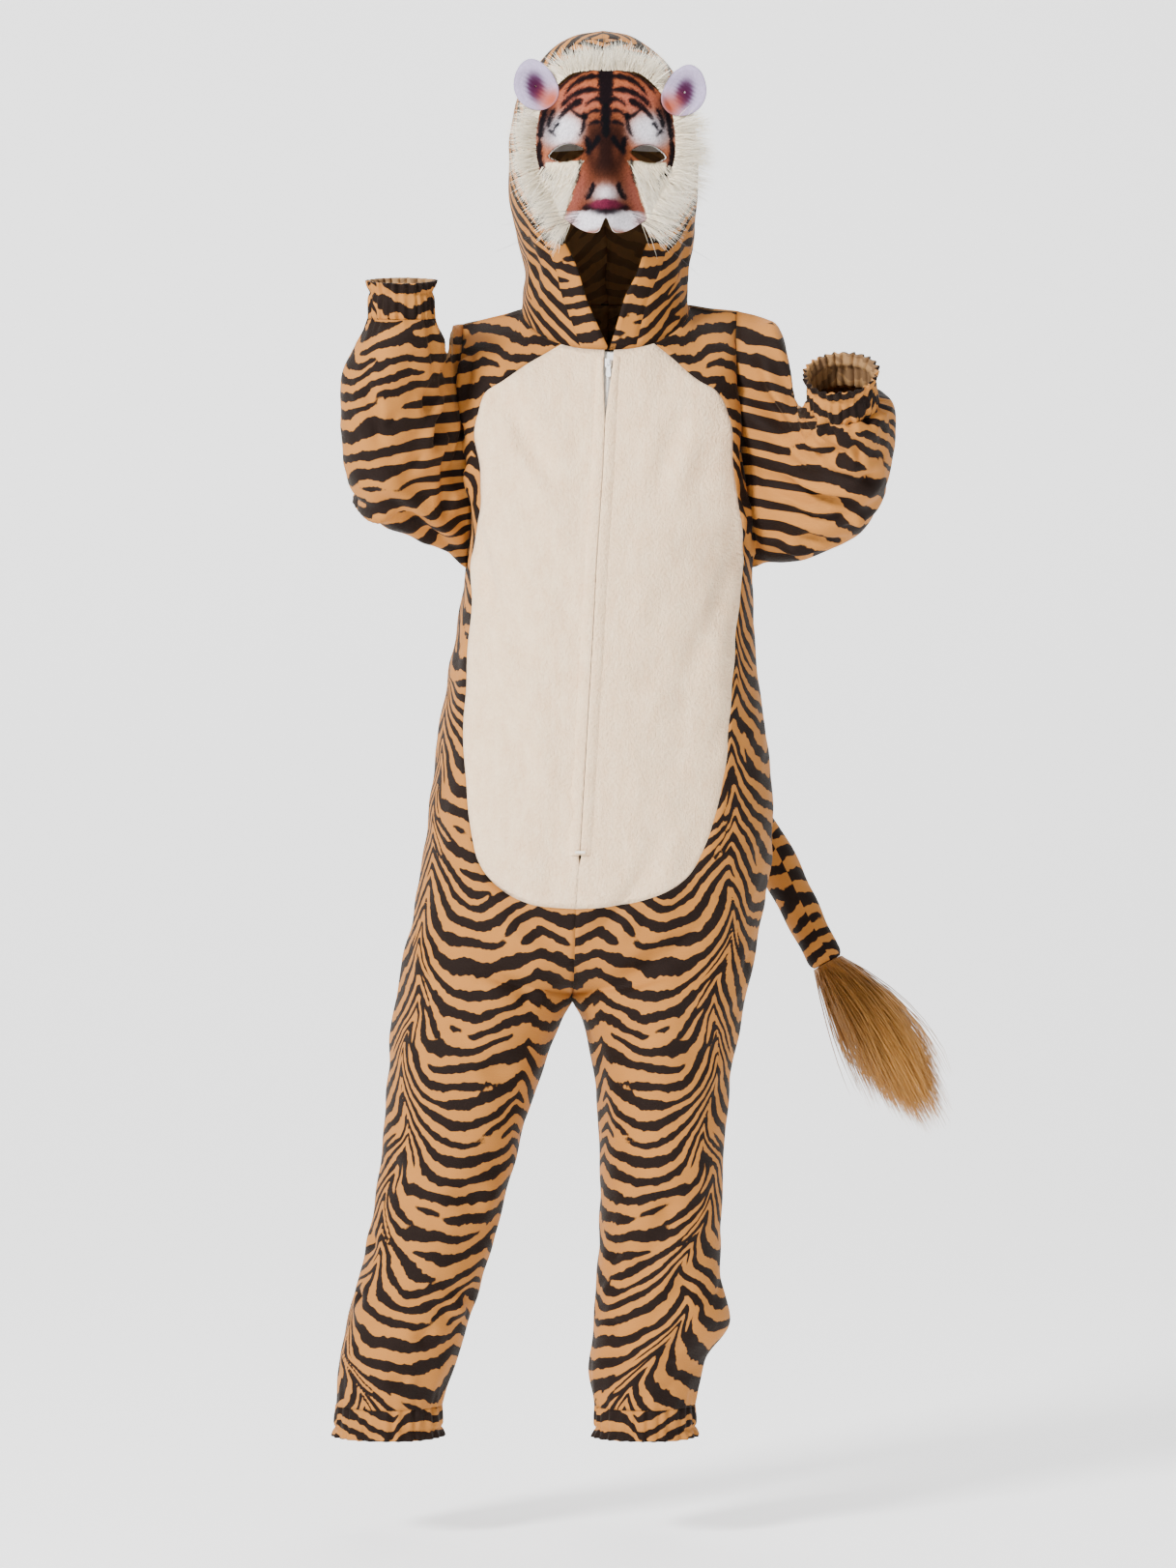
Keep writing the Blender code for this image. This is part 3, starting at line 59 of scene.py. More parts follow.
# Rows of the body from hem to upper chest. in and out are the ends of a row on the inseam or centre line and
# on the side seam or armhole. turn is 0 where a row goes round a leg and 1 where it goes round the torso.
BODY_COLUMNS = "z_in z_out right_in right_out left_in left_out front back front_out back_out turn".split()
BODY = (
    (-950, -950, -147, -240, -14, 76, -48, 50, 0, 0, 0),
    (-912, -912, -134, -236, -18, 84, -52, 54, 0, 0, 0),
    (-874, -874, -122, -229, -14, 106, -56, 57, 0, 0, 0),
    (-832, -832, -110, -218, -11, 98, -60, 60, 0, 0, 0),
    (-766, -766, -90, -205, -8, 99, -65, 63, 0, 0, 0),
    (-701, -701, -72, -197, -8, 103, -72, 70, 0, 0, 0),
    (-650, -650, -56, -192, -14, 109, -79, 79, 0, 0, 0),
    (-612, -606, -42, -188, -22, 118, -86, 89, 0, 0, 0),
    (-591, -575, -32, -183, -32, 125, -92, 97, 0, 0, 0),
    (-581, -548, -31, -178, -31, 130, -97, 103, 0, 0, 0.5),
    (-556, -520, -30, -173, -30, 135, -102, 108, 0, 0, 0.87),
    (-521, -492, -29, -168, -29, 139, -106, 110, 0, 0, 1),
    (-463, -461, -25, -163, -25, 143, -111, 109, 0, 0, 1),
    (-412, -412, -22, -156, -22, 143, -113, 104, 0, 0, 1),
    (-361, -361, -19, -150, -19, 138, -114, 98, 0, 0, 1),
    (-310, -310, -16, -141, -16, 132, -112, 95, 0, 0, 1),
    (-259, -259, -13, -131, -13, 127, -109, 94, 0, 0, 1),
    (-217, -215, -11, -124, -11, 125, -106, 95, 0, 0, 1),
    (-172, -160, -8, -120, -8, 121, -102, 96, -40, 46, 1),
    (-124, -97, -5, -125, -5, 114, -95, 93, -44, 50, 1),
    (-77, -44, -3, -129, -3, 110, -86, 86, -32, 40, 1),
)
UNDERARM = 17
TOP = len(BODY)
SIDES = {"right": -1, "left": 1}

# The top row: neckline from the centre to the side of the neck, then the shoulder seam to the tip
NECK_SHARE = 0.55
NECK_FRONT = (0.0, -72.0, -29.0)
NECK_BACK = (0.0, 60.0, 22.0)
NECK_SIDE = {"right": (-76.0, 4.0, 13.0), "left": (71.0, 4.0, 18.0)}
SHOULDER_TIP = {"right": (-128.0, 6.0, 1.0), "left": (113.0, 6.0, 12.0)}

# Edge of the belly inset, from its bottom on the centre line to the neckline
BELLY_COLUMNS = "t right left".split()
BELLY = (
    (11.19, 0.0, 0.0),
    (11.22, 0.13, 0.12),
    (11.36, 0.27, 0.26),
    (11.62, 0.37, 0.36),
    (12.14, 0.44, 0.42),
    (12.9, 0.51, 0.48),
    (14.15, 0.59, 0.55),
    (15.2, 0.65, 0.62),
    (16.4, 0.77, 0.71),
    (17.3, 0.84, 0.76),
    (18.1, 0.74, 0.73),
    (19.0, 0.73, 0.74),
    (19.45, 0.67, 0.71),
    (19.82, 0.60, 0.62),
    (20.1, 0.48, 0.49),
    (20.55, 0.33, 0.33),
    (21.0, 0.19, 0.19),
)
BELLY_CORNER = 3
BELLY_TOP_SHARE = 0.19

# Largest creases: face, both ends as x and z, half width, depth
CREASES = (
    ("front", -96, -72, -52, -140, 11, 5),
    ("front", -48, -425, -50, -480, 13, 3),
    ("front", 20, -845, 52, -778, 12, 6),
    ("front", 22, -890, 66, -840, 11, 5),
    ("front", -212, -880, -160, -850, 11, 4),
    ("front", -206, -690, -150, -730, 14, 3),
    ("back", -100, -560, -50, -590, 16, 3),
    ("back", 60, -560, 0, -590, 16, 3),
    ("back", -150, -770, -110, -750, 13, 4),
    ("back", 70, -770, 30, -745, 13, 4),
    ("back", -60, -110, -20, -200, 14, 4),
    ("back", 55, -110, 12, -200, 14, 4),
)

# Sections of a sleeve: ends at the crook of the elbow (near) and at its outside (far), as x and z, the depth
# y of the middle, half the depth and the lean of the section in degrees
SLEEVE_COLUMNS = "near_x near_z far_x far_z y half lean".split()
SLEEVES = {
    "right": (
        (-136, -2, -143, -198, -8, 60, 0),
        (-138, -16, -166, -188, -20, 65, 0),
        (-138, -28, -197, -180, -32, 67, 0),
        (-139, -32, -218, -161, -44, 67, 0),
        (-140, -31.5, -228, -134, -54, 65, 0),
        (-141, -29, -231, -106, -62, 62, 0),
        (-142, -25.5, -231, -81, -69, 59, 0),
        (-143, -21, -229, -57, -76, 55, 4),
        (-145, -15.5, -221, -32, -84, 49, 6),
        (-147.5, -9.5, -210, -13, -90, 40, 8),
        (-150, -3, -207, -3, -92, 30, 10),
    ),
    "left": (
        (141, 2, 141, -210, -5, 58, 0),
        (157, -22, 160, -211, -14, 63, 0),
        (160, -52, 179, -206, -24, 66, 0),
        (161, -72, 199, -198, -36, 68, 0),
        (162.5, -76, 220, -184, -48, 68, 2),
        (163.5, -78, 233, -168, -60, 66, 5),
        (164.5, -80, 241, -147, -72, 64, 9),
        (165.5, -81, 245, -120, -86, 60, 14),
        (166, -82, 246, -96, -100, 54, 21),
        (166.5, -83, 242, -78, -113, 45, 29),
        (168, -84, 230, -77, -124, 32, 36),
    ),
}

# Rows of the hood above the neckline: height of the face edge, of the middle and of the centre back, half
# width, middle x, middle y, depth forward and back, and the share of the width that is open
HOOD_COLUMNS = "z_face z_mid z_back half x y ahead behind open".split()
HOOD = (
    (16, 28, 46, 72, -3, 0, 78, 74, 0.24),
    (38, 46, 68, 72, -1, 4, 86, 84, 0.36),
    (72, 80, 98, 78, -3, 6, 92, 90, 0.50),
    (112, 116, 130, 83, -5, 8, 106, 94, 0.66),
    (150, 156, 166, 83, -5, 8, 115, 94, 0.72),
    (184, 196, 198, 76, -5, 8, 115, 88, 0.72),
    (208, 228, 221, 61, -5, 8, 112, 78, 0.70),
    (224, 248, 232, 40, -5, 8, 104, 66, 0.66),
    (232, 258, 237, 20, -5, 8, 99, 56, 0.62),
    (234, 261, 238, 0, -5, 8, 96, 50, 0.60),
)

# Fine samples of the seams, shared by the pieces on both sides of a seam
LEG_T = np.concatenate([np.linspace(0, 8, 110), np.linspace(8, 10, 18)[1:]])
SIDE_T = np.concatenate([np.linspace(10, 17, 101), np.linspace(17, 21, 59)[1:]])
FRONT_S = np.linspace(0, 1, 57)
BACK_S = np.concatenate([np.linspace(0, NECK_SHARE, 31), np.linspace(NECK_SHARE, 1, 27)[1:]])
YOKE_S = np.concatenate([np.linspace(BELLY_TOP_SHARE, NECK_SHARE, 11), np.linspace(NECK_SHARE, 1, 16)[1:]])
LEG_END_T = 10
SLEEVE_ROWS = 81
HOOD_H = np.linspace(0, 10, 86)
BAND_CELLS = 28

# Zip and fly, by the rows of the body that they reach
ZIP_SLOT = 4.0
ZIP_TOP_T = 20.86
ZIP_END_T = 11.95
COIL_TOP_T = 20.66
FLY_OPEN_T = 19.72
FLY_WIDTH = 10.5
FLY_TOP_GAP = 4.8
TAPE_GAP = 1.0
TAPE_HALF = 11.0
TAPE_THICK = 0.6
TOOTH_PITCH = 1.45

# Mask, as in the solids, with its eyes, ears and fur edge. Strands nearer than EAR_CLEAR to an ear's middle
# lie behind the ear.
MASK_MIDDLE_X = -3.0
MASK_MIDDLE_Y = -104.0
MASK_COLUMNS = "z half edge nose".split()
MASK = (
    (71, 25, 4, 9),
    (80, 37, 9, 14),
    (92, 40, 12, 18),
    (106, 47, 16, 15),
    (121, 57, 22, 10),
    (139, 61, 24, 6),
    (159, 61, 24, 3),
    (178, 57, 23, 1),
    (196, 47, 19, -2),
    (210, 30, 11, -5),
)
MASK_THICK = 1.4
NOSE_HALF = 15.0
EYES = ((-37.0, 138, -6), (34.0, 137, 6))
EYE_HALF = (15.5, 8.0)
EARS = {"right": (-63.5, 197), "left": (65, 192)}
EAR_HALF = (19.0, 20.0)
EAR_THICK = 1.8
FUR_MIDDLE_Z = 138.0
FUR_ENDS = (-63.0, 243.0)
FUR_STEPS = 400
EAR_CLEAR = 27

# Tail, as in the solids
TAIL = (
    (-23, 108, -396, 21),
    (-8, 134, -391, 20.5),
    (40, 152, -394, 20),
    (94, 158, -412, 19.5),
    (138, 155, -450, 19),
    (171, 149, -512, 17.5),
    (199, 143, -566, 15.5),
)
TUFT_LENGTH = 172.0
TUFT_LEAN = (0.55, -0.04, -0.83)
TUFT_BOW = (9.0, 0.0, 5.0)
TUFT_SPREAD = 1.15
TUFT_ROUNDING = 0.30

# Where the print starts on the halves of the hood, round and up, and its slant
HOOD_PRINT = {"right": (-96, 60, 0.8), "left": (-60, 103, 0.35)}

# Print of the velour: one repeat, its stripes, and how far they drop away from the spine of the print. A row
# of the spine is a height and the places where it runs down the right front and the left.
REPEAT_U = 240
REPEAT_V = 167
STRIPES = 9
DROP = 62.0
DROP_REACH = 24.0
RISE = 28.0
SPINE = (
    (-960, -214, 14),
    (-905, -231, 36),
    (-855, -222, 60),
    (-812, -204, 76),
    (-735, -186, 88),
    (-633, -178, 92),
    (-574, -166, 95),
    (-506, -158, 103),
    (-420, -152, 108),
    (-300, -140, 112),
    (-100, -112, 100),
)

# How much of that drop the stripes of each part have, 1 on the legs, and the radius of a tube in its print
YOKE_SLOPE = 0.15
SLEEVE_SLOPE = 0.3
CASING_SLOPE = 0.35
HOOD_SLOPE = 0.3
BAND_SLOPE = 0.2
TUBE_RADIUS = 60

# Folds beside the largest ones: both ends, half width, and height (troughs are negative). All are made
# FOLD_GAIN times as high, and more by SLEEVE_FOLD_GAIN where they start beyond the body. The low waves that
# lie over all have a length and a height. Cloth nearer to the zip than ZIP_CALM stays flat above ZIP_CALM_Z,
# and troughs are shallow on the hood, above HOOD_Z.
FOLD_GAIN = 1.9
SLEEVE_FOLD_GAIN = 1.6
BODY_HALF = 105
LOW_WAVES = ((95, 0.8), (60, 0.6), (38, 0.45), (24, 0.25))
ZIP_CALM = 12
ZIP_CALM_Z = -485
HOOD_Z = 60
FOLDS = (
    (-190, -60, -178, -128, -62, -172, 6, -3.0),
    (-200, -40, -165, -135, -30, -186, 5, -2.5),
    (-210, -70, -150, -160, -92, -120, 6, -2.5),
    (-226, -20, -150, -190, -70, -176, 7, 2.5),
    (-180, -90, -185, -130, -70, -195, 5, 2.0),
    (-145, -70, -75, -150, -95, -128, 6, -3.5),
    (-160, -95, -60, -146, -100, -110, 6, -2.5),
    (-140, -50, -90, -128, -55, -150, 6, -3.0),
    (-222, -60, -60, -180, -110, -45, 8, -2.0),
    (-228, -62, -110, -185, -118, -95, 8, -2.0),
    (-150, -20, -30, -200, -60, -25, 7, 2.0),
    (120, -40, -60, 175, -100, -118, 7, -3.5),
    (135, -80, -110, 200, -140, -128, 7, -3.5),
    (140, -60, -140, 210, -110, -170, 7, -3.0),
    (132, -40, -30, 160, -80, -100, 6, 2.5),
    (165, -100, -100, 225, -150, -95, 6, -2.5),
    (170, -105, -125, 240, -120, -150, 7, -2.5),
    (200, -60, -190, 140, -60, -200, 6, -2.5),
    (236, -60, -150, 200, -100, -190, 7, 2.5),
    (120, -60, -150, 128, -40, -205, 6, -3.0),
    (-118, -80, -70, -80, -105, -170, 12, -2.5),
    (-60, -104, -60, -50, -112, -200, 16, 1.5),
    (100, -90, -90, 70, -108, -180, 12, -2.0),
    (-118, -60, -200, -80, -100, -290, 12, -2.0),
    (115, -70, -215, 80, -105, -300, 12, -1.5),
    (-85, -100, -330, -60, -110, -440, 12, -1.5),
    (40, -112, -470, -28, -100, -560, 9, -2.0),
    (-110, -95, -480, -36, -98, -556, 9, -2.0),
    (95, -90, -520, -10, -85, -590, 9, -2.5),
    (-150, -60, -545, -50, -85, -600, 9, -2.5),
    (120, -40, -560, 30, -75, -625, 8, -2.0),
    (-165, -60, -640, -80, -75, -655, 9, -1.5),
    (20, -76, -655, 90, -60, -640, 9, -1.5),
    (-190, -40, -740, -100, -60, -770, 9, -2.0),
    (8, -60, -745, 70, -55, -775, 9, -2.0),
    (-215, -20, -800, -150, -50, -840, 7, -2.5),
    (-225, -20, -850, -160, -50, -885, 6, -2.5),
    (-120, -30, -870, -160, -52, -840, 6, 2.0),
    (-228, -10, -900, -180, -50, -925, 5, -2.0),
    (-5, -40, -820, 50, -55, -770, 7, -3.0),
    (-10, -30, -850, 70, -50, -815, 6, 2.5),
    (-10, -40, -880, 80, -40, -850, 6, -3.0),
    (95, -20, -845, 60, -50, -880, 6, -2.5),
    (-10, -40, -910, 60, -50, -895, 5, -2.5),
    (80, -20, -900, 40, -50, -925, 5, 2.0),
    (105, 20, -870, 60, 50, -900, 7, -3.0),
    (-5, 40, -870, 60, 56, -850, 8, -2.5),
    (-5, 40, -910, 60, 50, -890, 6, -2.0),
    (-225, 20, -870, -150, 52, -890, 7, -2.5),
    (-130, 30, -840, -200, 56, -820, 8, -2.0),
    (-120, 80, -600, -60, 100, -560, 10, -3.0),
    (100, 70, -600, 0, 95, -560, 10, -3.0),
    (-150, 40, -560, -70, 90, -620, 9, -2.5),
    (120, 40, -560, 40, 80, -625, 9, -2.5),
    (-110, 60, -40, -60, 92, -150, 12, -2.5),
    (95, 60, -30, 60, 92, -150, 12, -2.5),
    (-120, 40, -200, -60, 92, -280, 12, -2.5),
    (118, 50, -215, 60, 92, -290, 12, -2.5),
    (-100, 70, -380, -40, 100, -330, 12, -2.0),
    (90, 70, -380, 30, 100, -330, 12, -2.0),
    (-60, 60, 20, -70, 30, 110, 9, -2.0),
    (60, 60, 20, 66, 20, 110, 9, -2.0),
    (-62, -40, 20, -78, -40, 90, 7, -2.0),
    (64, -30, 24, 70, -40, 90, 7, -2.0),
    (-20, 74, 40, -10, 100, 120, 10, -2.0),
    (-143, -103, 0, -136, -78, -72, 5, -2.2),
    (-129, -38, -8, -122, -54, -89, 4, 1.8),
    (-117, -19, -30, -129, -60, -115, 5, -2),
    (-149, -95, -81, -110, -39, -157, 6, 2),
    (-170, -59, -174, -119, -3, -217, 6, -2),
    (-196, -97, -140, -128, -26, -191, 7, 2),
    (-280, -93, -72, -238, -81, -115, 9, 1.5),
    (-255, -55, -191, -178, -31, -225, 7, -1.8),
    (-212, -125, -51, -196, -111, -115, 6, -1.6),
    (150, -76, -105, 195, -131, -134, 5, -2),
    (136, -63, -132, 204, -115, -157, 6, 2),
    (144, -59, -166, 212, -96, -178, 5, -2),
    (128, -33, -191, 187, -61, -204, 6, 1.8),
    (94, -41, -81, 136, -54, -157, 7, -2),
    (178, -144, -89, 187, -138, -123, 4, 2),
    (204, -151, -98, 217, -130, -140, 4, -1.8),
    (110, -42, -115, 123, -15, -200, 6, 2),
    (-91, -74, -66, -57, -92, -129, 9, -1.6),
    (-72, -93, -157, -34, -107, -259, 12, -1.4),
    (-76, -103, -310, -53, -108, -446, 14, 1.2),
    (-110, -70, -191, -85, -102, -310, 12, 1.3),
    (64, -82, -81, 39, -98, -157, 9, -1.4),
    (78, -90, -259, 54, -105, -395, 13, -1.3),
    (60, -102, -446, 36, -104, -548, 12, 1.2),
    (-151, -120, -8, -146, -81, -115, 5, -2.6),
    (-136, -78, -72, -143, -53, -174, 6, -2.4),
    (-110, -41, -81, -100, -39, -157, 5, -2.2),
    (104, -41, -115, 119, 1, -225, 6, -2.2),
    (78, -40, -157, 98, -1, -234, 6, 2),
)

# Gathers at the wrists and ankles: waves round the ring, length of the casing and its rows of points. The
# shares are where along a casing it is stitched and where its frill starts. The rest is in millimetres along
# it from its seam: where the stitching holds the waves, where they grow in the frill, their two ends, and how
# fast fine and wide waves fade up the cloth. Points farther from the axis than GATHER_REACH radii stay.
WAVES = {"cuff": 26, "hem": 29}
CUFF_LENGTH = 32
HEM_LENGTH = 27
CASING_ROWS = 17
STITCH_SHARE = 0.7
FRILL_SHARE = 0.75
STITCH_HEIGHT = 20
FRILL_HEIGHT = 21
GATHER_ENDS = (-75, 50)
FINE_FADE = 9.0
WIDE_FADE = 30.0
GATHER_REACH = 1.35

# Strands of the tuft, of the fur edge and of the cheeks: their number, their points and their sides
TUFT_STRANDS = 2600
TUFT_POINTS = 7
FUR_STRANDS = 6200
CHEEK_STRANDS = 1600
FUR_POINTS = 5
STRAND_SIDES = 3

# Rings of the tail, their points, and the row of its table up to which it is drawn in to its seat
TAIL_RINGS = 150
RING_POINTS = 73
TAIL_SEAT_ROW = 0.43

# Finish of the CAD's own nodes that the scene shows
CARRIED = {"zip_slider": "enamel", "zip_pull": "enamel", "zip_tack": "thread", "mask_elastic": "elastic"}

# Camera of the photo, the lights (name, place, size and power) and the floor, which bends up behind the suit.
# Lengths are in metres.
CAMERA_PLACE = (-0.0183, -4.5, -0.4046)
CAMERA_HALF = 0.68935
LIGHTS = (
    ("key", (-2.4, -3.2, 1.9), 0.9, 430),
    ("fill", (2.8, -3.0, 0.4), 2.6, 26),
    ("top", (0.2, -0.2, 2.6), 2.0, 50),
    ("behind", (0.0, 2.0, 1.6), 2.0, 22),
)
WHITE = (1.0, 1.0, 1.0, 1.0)
FLOOR_ROWS = 60
FLOOR_Z = -1.067
FLOOR_HALF = 9.0
FLOOR_FRONT = -7
FLOOR_BACK = 2.2
FLOOR_BEND = 1.2
FLOOR_GLOW = 0.85
WORLD_GLOW = 0.28


def columns(table, names):
    """A table's columns as arrays, by name."""
    values = np.array(table, float)
    return {name: values[:, i] for i, name in enumerate(names)}


def smooth(rows, t):
    """Curve through rows[k] at the real number t, for each point of its own.

    It is a cubic between rows, with the harmonic mean of the steps on both sides as its slope, or none at a
    turn, so that it never overshoots.
    """
    steps = np.diff(rows, axis=0)
    product = np.maximum(steps[1:] * steps[:-1], 0)
    total = steps[1:] + steps[:-1]
    inner = 2 * product / np.where(np.abs(total) < 1e-9, 1, total) * (product > 0)
    slopes = np.concatenate([steps[:1], inner, steps[-1:]])
    k = np.clip(np.floor(t).astype(int), 0, len(rows) - 2)
    f = (t - k)[:, None]
    index = np.arange(len(t))
    a, b = rows[k, index], rows[k + 1, index]
    m, n = slopes[k, index], slopes[k + 1, index]
    return a + f * (m + f * (3 * (b - a) - 2 * m - n + f * (2 * (a - b) + m + n)))


def unit(v):
    """Vectors of length one."""
    return v / np.maximum(np.linalg.norm(v, axis=-1, keepdims=True), 1e-9)


def top_row(side, face, s):
    """Neckline as a quarter oval from the centre to the side of the neck, then the straight shoulder seam."""
    centre = np.array(NECK_FRONT if face == "front" else NECK_BACK)
    neck = np.array(NECK_SIDE[side])
    tip = np.array(SHOULDER_TIP[side])
    a = np.pi / 2 * np.clip(s / NECK_SHARE, 0, 1)
    across = np.sin(a) ** TORSO_ROUND
    along = np.cos(a) ** TORSO_ROUND
    x = centre[0] + (neck[0] - centre[0]) * across
    y = neck[1] + (centre[1] - neck[1]) * along
    z = neck[2] + (centre[2] - neck[2]) * np.cos(a)
    f = np.clip((s - NECK_SHARE) / (1 - NECK_SHARE), 0, 1)[:, None]
    return np.stack([x, y, z], axis=1) + (tip - neck) * f


def body_rows(side, face, s):
    """All rows of the body at s: half an oval round a leg, a quarter oval round the torso."""
    c = {name: v[:, None] for name, v in columns(BODY, BODY_COLUMNS).items()}
    x_in, x_out = c[side + "_in"], c[side + "_out"]
    depth, y_out = c[face], c[face + "_out"]
    half = np.pi * s[None]
    quarter = half / 2
    leg_x = (x_in + x_out) / 2 - (x_out - x_in) / 2 * np.cos(half)
    leg_y = depth * np.abs(np.sin(half)) ** LEG_ROUND
    torso_x = x_in + (x_out - x_in) * np.sin(quarter) ** TORSO_ROUND
    torso_y = y_out + (depth - y_out) * np.abs(np.cos(quarter)) ** TORSO_ROUND
    x = leg_x + (torso_x - leg_x) * c["turn"]
    y = leg_y + (torso_y - leg_y) * c["turn"]
    z = c["z_in"] + (c["z_out"] - c["z_in"]) * np.sin(quarter) ** 2
    rows = np.stack([x, y, z], axis=2)
    return np.concatenate([rows, top_row(side, face, s)[None]])


def creased(points, face):
    """Each crease is a soft trough along a line, as deep as its table row says and fading to its ends."""
    out = points.copy()
    inward = 1 if face == "front" else -1
    for where, x0, z0, x1, z1, width, depth in CREASES:
        if where != face:
            continue
        start = np.array([x0, z0], float)
        run = np.array([x1, z1], float) - start
        flat = points[:, [0, 2]] - start
        share = flat @ run / (run @ run)
        off = np.linalg.norm(flat - np.clip(share, 0, 1)[:, None] * run, axis=1)
        out[:, 1] += inward * depth * np.exp(-((off / width) ** 2))
    return out


def body(side, face, s, t):
    """Points of the body's outer surface at s and t, arrays of one shape, as an array with xyz last."""
    s, t = np.broadcast_arrays(np.asarray(s, float), np.asarray(t, float))
    flat_s, flat_t = s.ravel(), t.ravel()
    points = smooth(body_rows(side, face, flat_s), flat_t)
    facing = np.abs(points[:, 1]) / 60
    moved = creased(points, face)
    points = points + (moved - points) * np.clip(facing, 0, 1)[:, None] * (flat_t < 20.9)[:, None]
    return points.reshape(s.shape + (3,))


def belly_edge(side, share):
    """s and t along the edge of the belly inset: share 0 to 1 is its bottom, 1 to 2 its side."""
    c = columns(BELLY, BELLY_COLUMNS)
    side_rows = len(BELLY) - 1 - BELLY_CORNER
    row = np.where(share < 1, share * BELLY_CORNER, BELLY_CORNER + (share - 1) * side_rows)
    table = np.stack([c[side], c["t"]], axis=1)[:, None, :].repeat(len(row), axis=1)
    return smooth(table, row).T


def side_shares():
    """How far along the side of the belly each sample of the side seam has its mate, from 0 to 1."""
    c = columns(BELLY, BELLY_COLUMNS)
    rows = np.arange(len(BELLY), dtype=float)
    low = c["t"][BELLY_CORNER]
    wanted = low + (SIDE_T - SIDE_T[0]) / (SIDE_T[-1] - SIDE_T[0]) * (c["t"][-1] - low)
    found = np.interp(wanted, c["t"], rows)
    return (found - BELLY_CORNER) / (len(BELLY) - 1 - BELLY_CORNER)


def slot_s(side, t, reach):
    """s at which the surface lies reach to the side of the centre line, at each t. reach may vary with t."""
    s = np.linspace(0, 0.2, 81)
    t = np.atleast_1d(t)
    grid = body(side, "front", s[None, :], t[:, None])
    away = np.abs(grid[..., 0] - grid[:, :1, 0])
    return np.array([np.interp(reach[i] if np.ndim(reach) else reach, away[i], s) for i in range(len(t))])


def belly_panel(side):
    """The belly inset, spanned between the zip's slot, the bottom edge, the side edge and the neckline."""
    p = np.linspace(0, 1, len(FRONT_S))
    bottom = np.stack(belly_edge(side, p), axis=1)
    edge = np.stack(belly_edge(side, 1 + side_shares()), axis=1)
    q = side_shares()
    centre_t = bottom[0, 1] + q * (TOP - bottom[0, 1])
    closed = 1 - np.clip((ZIP_END_T + 0.35 - centre_t) / 0.5, 0, 1)
    centre = np.stack([slot_s(side, centre_t, ZIP_SLOT) * closed, centre_t], axis=1)
    top_s = centre[-1, 0] + p * (BELLY_TOP_SHARE - centre[-1, 0])
    top = np.stack([top_s, np.full(len(p), float(TOP))], axis=1)
    a, b = p[None, :, None], q[:, None, None]
    ruled = (1 - a) * centre[:, None] + a * edge[:, None] + (1 - b) * bottom[None] + b * top[None]
    below = (1 - a) * (1 - b) * centre[0] + a * (1 - b) * edge[0]
    above = (1 - a) * b * centre[-1] + a * b * edge[-1]
    st = ruled - (below + above)
    return body(side, "front", st[..., 0], st[..., 1])


def sleeve(side):
    """A tube from the armhole through the sections of its table to the wrist, as rows of rings."""
    c = columns(SLEEVES[side], SLEEVE_COLUMNS)
    arm_t = SIDE_T[SIDE_T >= UNDERARM]
    fore = body(side, "front", np.ones(len(arm_t)), arm_t)
    aft = body(side, "back", np.ones(len(arm_t)), arm_t)
    armhole = np.concatenate([fore, aft[-2::-1]])
    a = np.pi * np.arange(len(armhole)) / (len(arm_t) - 1)
    near = np.stack([c["near_x"], c["y"], c["near_z"]], axis=1)
    far = np.stack([c["far_x"], c["y"], c["far_z"]], axis=1)
    along = unit(far - near)
    lean = np.radians(c["lean"])[:, None]
    up = np.stack([-along[:, 2], 0 * lean[:, 0], along[:, 0]], axis=1) * SIDES[side]
    across = np.cos(lean) * np.array([0, 1, 0]) + np.sin(lean) * up
    middle = (near + far)[:, None] / 2
    reach = (far - near)[:, None] / 2 * np.cos(a)[None, :, None]
    depth = across[:, None] * (-c["half"][:, None] * np.sin(a))[..., None]
    rings = np.concatenate([armhole[None], middle + reach + depth])
    t = np.linspace(0, len(rings) - 1, SLEEVE_ROWS)
    tt, jj = np.meshgrid(t, np.arange(len(armhole)), indexing="ij")
    points = smooth(rings[:, jj.ravel()], tt.ravel())
    return points.reshape(len(t), len(armhole), 3)


def wrist_axis(side):
    """Direction out of the sleeve, square to its last section."""
    c = {name: v[-1] for name, v in columns(SLEEVES[side], SLEEVE_COLUMNS).items()}
    along = unit(np.array([c["far_x"] - c["near_x"], 0, c["far_z"] - c["near_z"]]))
    lean = math.radians(c["lean"])
    up = np.array([-along[2], 0, along[0]]) * SIDES[side]
    return up * math.cos(lean) - np.array([0, 1, 0]) * math.sin(lean)


def leg_ring(side):
    """The open lower edge of a leg, front then back."""
    front = body(side, "front", FRONT_S, np.zeros(len(FRONT_S)))
    back = body(side, "back", BACK_S, np.zeros(len(BACK_S)))
    return np.concatenate([front, back[-2::-1]])


def neck_samples(side):
    """Points of the neckline that belly, front and back share, from the centre front to the centre back."""
    belly = belly_panel(side)[-1]
    start = np.array(NECK_FRONT)[None]
    yoke = top_row(side, "front", YOKE_S[1:11])
    back = top_row(side, "back", BACK_S[BACK_S < NECK_SHARE][::-1])
    belly = np.concatenate([start, belly[1:]])
    return np.concatenate([belly, yoke, back])


def hood_shares():
    """How far along the neckline its samples lie, from 0 at the centre front to 1 at the centre back."""
    steps = np.linalg.norm(np.diff(neck_samples("right"), axis=0), axis=1)
    return np.append(0, np.cumsum(steps)) / steps.sum()


